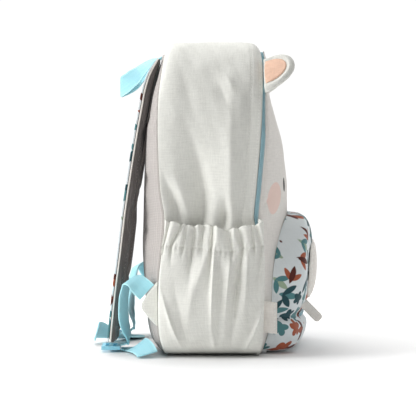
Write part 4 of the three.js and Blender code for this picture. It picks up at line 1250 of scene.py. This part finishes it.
def side_label():
    """Bare label: a flat strip out of the front seam, waved by sines and drooping towards its free edge."""
    u, v = shares(25, 41)
    y = -mix(LABEL.start, LABEL.end, u)
    wave = LABEL.wave * (np.sin(np.pi * u) + LABEL.twist * u * np.sin(2 * np.pi * v))
    z = mix(LABEL.bottom, LABEL.top, v) - LABEL.droop * u
    x = -BODY.half_width - LABEL.gap - LABEL.thickness - wave
    points = np.stack([x, y, z], -1)
    edge = np.minimum(np.minimum(v, 1 - v) * (LABEL.top - LABEL.bottom), (1 - u) * LABEL.free)
    marks = {"stitch": np.abs(edge - LABEL.stitch), "run": z + y}
    return shell(points, set_in(points, LABEL.thickness), np.stack([y, z], -1), marks)


# Inks of the print, and the scattered motifs: kind, size, ink, and ink of the centre or second part.
INKS = ("terracotta", "brown", "teal", "deep", "sage", "straw")
MOTIFS = (
    ("flower", 9.5, "terracotta", "straw"),
    ("leaves", 10, "teal", "deep"),
    ("dots", 5, "brown", "terracotta"),
    ("leaves", 10, "terracotta", "brown"),
    ("flower", 7, "deep", "straw"),
    ("leaves", 9, "sage", "teal"),
    ("dots", 4.5, "terracotta", "brown"),
    ("flower", 9, "teal", "straw"),
    ("leaves", 8.5, "brown", "terracotta"),
    ("dots", 4.5, "deep", "teal"),
)
# Pitch of the motifs, of their rows as a share of that, and how far chance moves one each way.
MOTIF_PITCH = 21
ROW_SHARE = 0.87
MOTIF_SHIFT = 3.5


def leaf(x, y, length, width):
    """Distance from an almond: the overlap of two circles that meet at its two points."""
    radius = (length**2 + width**2) / (2 * width)
    return np.hypot(np.abs(x) + radius - width, y) - radius


def motif_shapes(kind, x, y, size):
    """Distances in mm from the two parts of a motif, each negative inside its part."""
    reach, turn = np.hypot(x, y), np.arctan2(y, x)
    if kind == "flower":
        return reach - size * (0.58 + 0.42 * np.abs(np.cos(2.5 * turn))), reach - size * 0.26
    if kind == "dots":
        places = [(size * np.cos(a), size * np.sin(a)) for a in (0.4, 2.5, 4.6)]
        return np.min([np.hypot(x - a, y - b) for a, b in places], 0) - size * 0.26, reach - size * 0.18
    blades = []
    for angle in (-0.75, 0.75):
        across = x * np.cos(angle) - y * np.sin(angle)
        along = x * np.sin(angle) + y * np.cos(angle)
        blades.append(leaf(across, along - size * 0.8, size * 0.8, size * 0.3))
    return leaf(x, y - size * 0.7, size * 1.1, size * 0.34), np.min(blades, 0)


def print_marks(uv, seed):
    """Distance to the nearest motif of each ink: motifs in staggered rows, moved and turned by chance."""
    rng = np.random.default_rng(seed)
    low, high = uv.min((0, 1)), uv.max((0, 1))
    marks = {f"ink_{ink}": np.full(uv.shape[:2], FAR) for ink in INKS}
    rows = np.arange(low[1], high[1] + MOTIF_PITCH, MOTIF_PITCH * ROW_SHARE)
    for number, up in enumerate(rows):
        places = np.arange(low[0] - MOTIF_PITCH * (number % 2) / 2, high[0] + MOTIF_PITCH, MOTIF_PITCH)
        for order, across in enumerate(places):
            kind, size, ink, second = MOTIFS[(3 * order + 7 * number + 3) % len(MOTIFS)]
            moved = np.array([across, up]) + rng.uniform(-MOTIF_SHIFT, MOTIF_SHIFT, 2)
            angle = rng.uniform(0, 2 * np.pi)
            dx, dy = uv[..., 0] - moved[0], uv[..., 1] - moved[1]
            x, y = dx * np.cos(angle) - dy * np.sin(angle), dx * np.sin(angle) + dy * np.cos(angle)
            for name, distance in zip((ink, second), motif_shapes(kind, x, y, size)):
                marks[f"ink_{name}"] = np.minimum(marks[f"ink_{name}"], distance)
    return marks


def linear(red, green, blue):
    """Colour of a screen value from 0 to 255, in linear light."""
    c = np.array([red, green, blue]) / 255
    return (*np.where(c <= 0.04045, c / 12.92, ((c + 0.055) / 1.055) ** 2.4).tolist(), 1.0)


class Wire:
    """A socket of a material's nodes: arithmetic on it adds Math nodes, and node() adds any other kind."""

    def __init__(self, tree, socket=None):
        self.tree = tree
        self.socket = socket

    def node(self, kind, settings=None, inputs=None, output=0):
        """One node: its settings first, then a value or a wire for each input; gives one output's wire."""
        made = self.tree.nodes.new(kind)
        for name, value in (settings or {}).items():
            setattr(made, name, value)
        for name, value in (inputs or {}).items():
            if isinstance(value, Wire):
                self.tree.links.new(value.socket, made.inputs[name])
            else:
                made.inputs[name].default_value = value
        return Wire(self.tree, made.outputs[output])

    def math(self, operation, *values):
        """One Math node of an operation on values or wires."""
        return self.node("ShaderNodeMath", {"operation": operation}, dict(enumerate(values)))

    def __add__(self, other):
        return self.math("ADD", self, other)

    def __sub__(self, other):
        return self.math("SUBTRACT", self, other)

    def __rsub__(self, other):
        return self.math("SUBTRACT", other, self)

    def __mul__(self, other):
        return self.math("MULTIPLY", self, other)

    def __truediv__(self, other):
        return self.math("DIVIDE", self, other)

    def __abs__(self):
        return self.math("ABSOLUTE", self)

    __radd__ = __add__
    __rmul__ = __mul__

    def wave(self, pitch):
        """Sine of this length in mm, from -1 to 1, one turn to each pitch."""
        return self.math("SINE", self * (2 * np.pi / pitch))

    def mark(self, name):
        """Value of one of a piece's marks."""
        return self.node("ShaderNodeAttribute", {"attribute_name": name}, output="Fac")

    def within(self, edge, soft):
        """1 where this distance is under an edge, 0 past it, with a soft step between."""
        ends = {"Value": self, "From Min": edge + soft, "From Max": edge - soft}
        return self.node("ShaderNodeMapRange", {"clamp": True}, ends)

    def clamped(self):
        """This value kept between 0 and 1."""
        return self.node("ShaderNodeClamp", None, {0: self})

    def blend(self, first, second):
        """Mix of two colours, with this wire as the share of the second."""
        return self.node("ShaderNodeMix", {"data_type": "RGBA"}, {0: self, 6: first, 7: second}, 2)

    def noise(self, place, scale, detail=2.0):
        """Soft random value of a place stretched by a scale per axis."""
        stretched = self.node("ShaderNodeVectorMath", {"operation": "MULTIPLY"}, {0: place, 1: scale})
        return self.node("ShaderNodeTexNoise", None, {"Vector": stretched, "Scale": 1.0, "Detail": detail})


def new_material(name, roughness, **constants):
    """Material with a surface shader: gives it, its shader and a wire to build on."""
    material = bpy.data.materials.new(name)
    material.use_nodes = True
    shader = material.node_tree.nodes["Principled BSDF"]
    shader.inputs["Roughness"].default_value = roughness
    for socket, value in constants.items():
        shader.inputs[socket.replace("_", " ")].default_value = value
    return material, shader, Wire(material.node_tree)


def connect(shader, wire, socket):
    """Feeds a wire to a shader's socket."""
    wire.tree.links.new(wire.socket, shader.inputs[socket])


def bumped(wire, height, distance, strength=1.0):
    """Surface direction bent by a height, where a height of 1 is a distance in mm."""
    inputs = {"Height": height, "Distance": distance * MM, "Strength": strength}
    return wire.node("ShaderNodeBump", None, inputs)


def cloth_measure(wire):
    """A piece's own measure in mm: both directions together, then across and along."""
    cloth = wire.node("ShaderNodeUVMap", {"uv_map": "cloth"})
    across = wire.node("ShaderNodeSeparateXYZ", None, {0: cloth})
    return cloth, across, Wire(wire.tree, across.socket.node.outputs[1])


def threads(wire, pitch):
    """Plain weave: height of the threads as products of sine waves, and a tone of thick and thin ones."""
    cloth, across, along = cloth_measure(wire)
    height = across.wave(pitch) * along.wave(pitch * 2) + along.wave(pitch) * across.wave(pitch * 2)
    warp = wire.noise(cloth, (1 / 1.3, 1 / 10, 1))
    weft = wire.noise(cloth, (1 / 10, 1 / 1.3, 1))
    return cloth, height, warp + weft


def sewn(wire):
    """Share of a stitch at a place: short dashes along the sewn line that the piece's marks give."""
    dash = wire.mark("run").wave(3.4).within(0.35, 0.25)
    return wire.mark("stitch").within(0.45, 0.2) * (1 - dash)


def canvas(name, colour, stitched=True, pitch=0.9, shade=0.86):
    """Cotton canvas: plain weave with slubs, a soft mottle, and stitches along the sewn lines. Gives the
    material, its shader, a wire to build on and its colour."""
    material, shader, wire = new_material(name, 0.92, Sheen_Weight=0.12, Sheen_Roughness=0.5)
    cloth, height, slub = threads(wire, pitch)
    dark = (*(c * shade for c in colour[:3]), 1.0)
    tone = (slub - 0.62) / 0.76
    colour_wire = tone.clamped().blend(dark, colour)
    mottle = wire.noise(cloth, (1 / 9, 1 / 9, 1), 3.0)
    relief = height * 0.25 + slub * 1.1 + mottle * 1.8
    if stitched:
        stitch = sewn(wire)
        thread = (*(min(c * 1.06, 0.92) for c in colour[:3]), 1.0)
        colour_wire = stitch.blend(colour_wire, thread)
        relief = relief + stitch * 2.4
    connect(shader, colour_wire, "Base Color")
    connect(shader, bumped(wire, relief, 0.16, 0.8), "Normal")
    return material, shader, wire, colour_wire


# Colours of the inks, in the order in which they lie over each other.
INK_COLOURS = {
    "sage": linear(160, 180, 155),
    "straw": linear(232, 228, 200),
    "teal": linear(84, 134, 138),
    "terracotta": linear(170, 90, 62),
    "deep": linear(38, 76, 84),
    "brown": linear(88, 36, 26),
}


def face_canvas():
    """Canvas of the front with its printed eyes and cheeks."""
    material, shader, wire, colour = canvas("front_canvas", linear(236, 232, 226))
    cheek = wire.mark("cheek").within(0, 0.5) * 0.8
    eye = wire.mark("eye").within(0, 0.25)
    colour = cheek.blend(colour, linear(236, 204, 192))
    connect(shader, eye.blend(colour, linear(38, 34, 34)), "Base Color")
    return material


def print_canvas():
    """Pale canvas printed with the motifs, one ink over the other."""
    ground = linear(228, 235, 237)
    material, shader, wire, colour = canvas("printed_canvas", ground, stitched=False, shade=0.95)
    for ink, ink_colour in INK_COLOURS.items():
        colour = wire.mark(f"ink_{ink}").within(0, 0.3).blend(colour, ink_colour)
    connect(shader, colour, "Base Color")
    return material


def back_cloth():
    """Spacer mesh of the back: fine upright ribs with small eyelets between them."""
    material, shader, wire = new_material("back_mesh", 0.95, Sheen_Weight=0.1)
    _, across, along = cloth_measure(wire)
    rib = across.wave(3.2)
    eyelet = (across.wave(1.6) + along.wave(1.6)) * 0.5
    tone = rib * 0.2 + eyelet * 0.25 + 0.5
    stitch = sewn(wire)
    colour = tone.clamped().blend(linear(172, 166, 162), linear(202, 196, 192))
    connect(shader, stitch.blend(colour, linear(222, 218, 214)), "Base Color")
    connect(shader, bumped(wire, rib * 0.8 + eyelet * 0.6 + stitch * 2, 0.25), "Normal")
    return material


def strap_cloth():
    """Dark knit over the straps' padding: a close weave under a soft mottle, sewn along both edges."""
    material, shader, wire = new_material("strap_knit", 0.95, Sheen_Weight=0.15)
    cloth, height, slub = threads(wire, 1.2)
    mottle = wire.noise(cloth, (1 / 18, 1 / 18, 1), 2.0)
    tone = slub * 0.25 + mottle * 0.6 - 0.05
    stitch = sewn(wire)
    colour = tone.clamped().blend(linear(82, 77, 75), linear(114, 109, 107))
    connect(shader, stitch.blend(colour, linear(140, 134, 130)), "Base Color")
    connect(shader, bumped(wire, height * 0.3 + mottle * 1.5 + stitch * 2, 0.2), "Normal")
    return material


def woven_band():
    """Pale blue webbing: fine ribs in a herringbone across its width, plain selvedges."""
    material, shader, wire = new_material("webbing", 0.55, Sheen_Weight=0.2)
    cloth, across, along = cloth_measure(wire)
    zigzag = across.math("PINGPONG", across, 2.5)
    rib = (along + zigzag).wave(1.5)
    selvedge = (WEBBING.width / 2 - abs(across)).within(1.3, 0.25)
    fibre = wire.noise(cloth, (1 / 1.2, 1 / 30, 1))
    tone = rib * 0.12 + fibre * 0.5 + 0.25 + selvedge * 0.2
    colour = tone.clamped().blend(linear(146, 232, 253), linear(200, 249, 255))
    connect(shader, colour, "Base Color")
    connect(shader, bumped(wire, rib * (1 - selvedge), 0.18), "Normal")
    return material


def zip_cloth(name, dark, light):
    """Woven zip tape: fine ribs along its run."""
    material, shader, wire = new_material(name, 0.7)
    cloth, across, _ = cloth_measure(wire)
    rib = across.wave(0.8)
    tone = rib * 0.3 + wire.noise(cloth, (1 / 2, 1 / 12, 1)) * 0.4 + 0.3
    connect(shader, tone.clamped().blend(dark, light), "Base Color")
    connect(shader, bumped(wire, rib, 0.12), "Normal")
    return material


def moulded(name, dark, light, roughness, metallic=0.0):
    """Moulded plastic or painted metal: a faint mottle and fine scuffs in its gloss."""
    material, shader, wire = new_material(name, roughness, Metallic=metallic)
    place = wire.node("ShaderNodeTexCoord", output="Object")
    cloud = wire.noise(place, (220, 220, 220), 3.0)
    scuff = wire.noise(place, (1500, 1500, 300), 2.0)
    connect(shader, cloud.blend(dark, light), "Base Color")
    connect(shader, scuff * 0.25 + (roughness - 0.12), "Roughness")
    connect(shader, bumped(wire, scuff, 0.05, 0.5), "Normal")
    return material


def plain_canvas(name, colour, **options):
    """Canvas with nothing printed on it."""
    return canvas(name, colour, **options)[0]


BODY_CANVAS = plain_canvas("body_canvas", linear(238, 238, 231))
CREAM_CANVAS = plain_canvas("cream_canvas", linear(246, 241, 234))
PEACH_CANVAS = plain_canvas("peach_canvas", linear(250, 208, 182), stitched=False, pitch=0.7)
FACE_CANVAS = face_canvas()
PRINT = print_canvas()
BACK_CLOTH = back_cloth()
STRAP_CLOTH = strap_cloth()
BAND_WOVEN = woven_band()
ZIP_TAPE = zip_cloth("zip_tape", linear(164, 200, 211), linear(206, 230, 237))
ZIP_COIL = moulded("zip_coil", linear(122, 166, 178), linear(166, 206, 216), 0.45)
SLIDER_PLASTIC = moulded("slider_plastic", linear(132, 212, 238), linear(170, 230, 246), 0.4)
SLIDER_METAL = moulded("slider_metal", linear(78, 118, 130), linear(110, 150, 162), 0.42, 0.6)


def dressed(node, material, width):
    """A solid that keeps its shape: a new finish and softened edges."""
    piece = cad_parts[node]
    piece.data.materials.clear()
    piece.data.materials.append(material)
    edge = piece.modifiers.new("soft_edges", "BEVEL")
    edge.width = width * MM
    edge.segments = 3
    edge.limit_method = "ANGLE"


def make_bag():
    """Pieces that the bag has once; each hides the solid that it stands for, where it has one, and the
    zip's slider keeps its solid with a new finish.
    """
    band = add_piece("gusset", side_band(), BODY_CANVAS, ["side_band"])
    base = add_piece("base", base_panel(), BODY_CANVAS, ["base_panel"])
    front = add_piece("front", front_panel(), FACE_CANVAS, ["front_panel"])
    back = add_piece("back", back_panel(), BACK_CLOTH, ["back_panel"])
    add_piece("zip_tape", main_zip(), ZIP_TAPE, ["main_zip"])
    add_piece("zip_teeth", main_zip_teeth(), ZIP_COIL)
    pocket = add_piece("pouch", front_pocket(), PRINT, ["front_pocket"])
    patch = add_piece("pouch_patch", pocket_patch(), CREAM_CANVAS, ["pocket_patch"])
    add_piece("pouch_zip_tape", pocket_zip(), ZIP_TAPE, ["pocket_zip"])
    add_piece("pouch_zip_teeth", pocket_zip_teeth(), ZIP_COIL)
    add_piece("pouch_pull", pocket_pull(), CREAM_CANVAS, ["pocket_pull"])
    add_piece("seam_label", side_label(), CREAM_CANVAS, ["side_label"])
    add_piece("hang_loop", webbing_strip(HANDLE_ROWS), BAND_WOVEN, ["handle"])
    dressed("zip_slider", SLIDER_METAL, 0.5)


def make_side(word, side):
    """Pieces that each side has: ear, side pouch, strap, tab, webbing and slider."""
    tail_rows = RIGHT_TAIL_ROWS if side > 0 else LEFT_TAIL_ROWS
    puff = ear_moves(side)
    stuffed = add_piece(f"ear_shell_{word}", ear(side, puff), BODY_CANVAS, [f"ear_{word}"])
    add_piece(f"ear_patch_{word}", ear_lining(side, puff), PEACH_CANVAS, [f"ear_lining_{word}"])
    gathered = side_pocket(side)
    pouch = add_piece(f"side_pouch_{word}", gathered, BODY_CANVAS, [f"side_pocket_{word}"])
    pad = add_piece(f"strap_{word}", strap_pad(side), STRAP_CLOTH, [f"strap_pad_{word}"])
    add_piece(f"strap_print_{word}", strap_facing(side), PRINT, [f"strap_facing_{word}"])
    add_piece(f"strap_piping_{word}", strap_piping(side), CREAM_CANVAS)
    add_piece(f"tab_{word}", strap_tab(side), BODY_CANVAS, [f"strap_tab_{word}"])
    run = webbing_strip(WEBBING_ROWS, side)
    add_piece(f"band_{word}", run, BAND_WOVEN, [f"webbing_{word}"])
    tail = webbing_strip(tail_rows)
    add_piece(f"band_tail_{word}", tail, BAND_WOVEN, [f"webbing_tail_{word}"])
    dressed(f"strap_slider_{word}", SLIDER_PLASTIC, 0.7)


# The camera stands to the wearer's left, level with the upper half of the bag and tipped a little down.
CAMERA = SimpleNamespace(x=-1840, y=0, z=207.2, focal_share=1814 / 416, fall=68 / 1814, sensor=36)
# Floor in metres: half its side, the strength of its faint glow, and the distance from the bag inside which
# the glow is held off, softly, which paints a contact shadow around the bag.
FLOOR = SimpleNamespace(half=0.85, glow=0.25, painted_shadow_radius=0.2, soft=0.08)
# Brightness of the white surround: as a light, and added to that where the camera sees it.
SURROUND = SimpleNamespace(light=0.15, seen=0.9)
# Soft square lights in metres and watts: name, place, aim, side, power.
LIGHTS = (
    ("overhead", (0.6, 0.1, 1.9), (0.2, 0, 0), 3.0, 37),
    ("back_top", (1.5, 0.5, 1.5), (0, 0, 0), 1.2, 14),
    ("key", (-0.5, 1.9, 0.9), (0, 0, 0.16), 1.0, 35),
    ("front_fill", (1.3, -1.5, 0.6), (0, 0, 0.15), 1.0, 10),
    ("camera_fill", (-2.0, -0.3, 0.8), (0, 0, 0.15), 1.0, 4),
)


def make_camera():
    """Camera at the photo's angle, with a focal length given as a share of the picture's width."""
    data = bpy.data.cameras.new("photo_view")
    data.sensor_width = CAMERA.sensor
    data.lens = CAMERA.sensor * CAMERA.focal_share
    camera = bpy.data.objects.new("photo_view", data)
    camera.location = Vector((CAMERA.x, CAMERA.y, CAMERA.z)) * MM
    camera.rotation_euler = Vector((1, 0, -CAMERA.fall)).to_track_quat("-Z", "Y").to_euler()
    bpy.context.scene.collection.objects.link(camera)
    bpy.context.scene.camera = camera


def add_light(name, place, aim, side, power):
    """Soft square light at a place, turned to its aim."""
    data = bpy.data.lights.new(name, "AREA")
    data.shape = "SQUARE"
    data.size = side
    data.energy = power
    light = bpy.data.objects.new(name, data)
    light.location = place
    light.rotation_euler = (Vector(aim) - Vector(place)).to_track_quat("-Z", "Y").to_euler()
    bpy.context.scene.collection.objects.link(light)


def floor_glow_painted_shadow():
    """Pale floor: a faint mottle, and a glow that sets in away from the bag and is held off near it, which
    paints a contact shadow around the bag.
    """
    material, shader, wire = new_material("floor_glow_painted_shadow", 0.85, Emission_Strength=FLOOR.glow)
    place = wire.node("ShaderNodeTexCoord", output="Object")
    away = wire.node("ShaderNodeVectorMath", {"operation": "LENGTH"}, {0: place}, "Value")
    # Painted contact shadow: the floor's glow is switched off within this distance of the bag.
    near = away.within(FLOOR.painted_shadow_radius, FLOOR.soft)
    connect(shader, near.blend((1, 1, 1, 1), (0, 0, 0, 1)), "Emission Color")
    cloud = wire.noise(place, (3, 3, 3))
    connect(shader, cloud.blend(linear(240, 240, 240), linear(244, 244, 244)), "Base Color")
    return material


def make_stage():
    """Plain pale floor, a white surround and the soft lights."""
    corners = np.array([(-1, -1, 0), (1, -1, 0), (1, 1, 0), (-1, 1, 0)]) * FLOOR.half
    mesh = bpy.data.meshes.new("floor")
    mesh.from_pydata(corners.tolist(), [], [(0, 1, 2, 3)])
    mesh.materials.append(floor_glow_painted_shadow())
    floor = bpy.data.objects.new("floor", mesh)
    bpy.context.scene.collection.objects.link(floor)
    world = bpy.data.worlds.new("white_surround")
    world.use_nodes = True
    surround = world.node_tree.nodes["Background"]
    surround.inputs["Color"].default_value = (1, 1, 1, 1)
    seen = Wire(world.node_tree).node("ShaderNodeLightPath")
    connect(surround, seen * SURROUND.seen + SURROUND.light, "Strength")
    bpy.context.scene.world = world
    bpy.context.scene.view_settings.view_transform = "Standard"
    for light in LIGHTS:
        add_light(*light)


make_camera()
make_bag()
for word, side in SIDES.items():
    make_side(word, side)
make_stage()
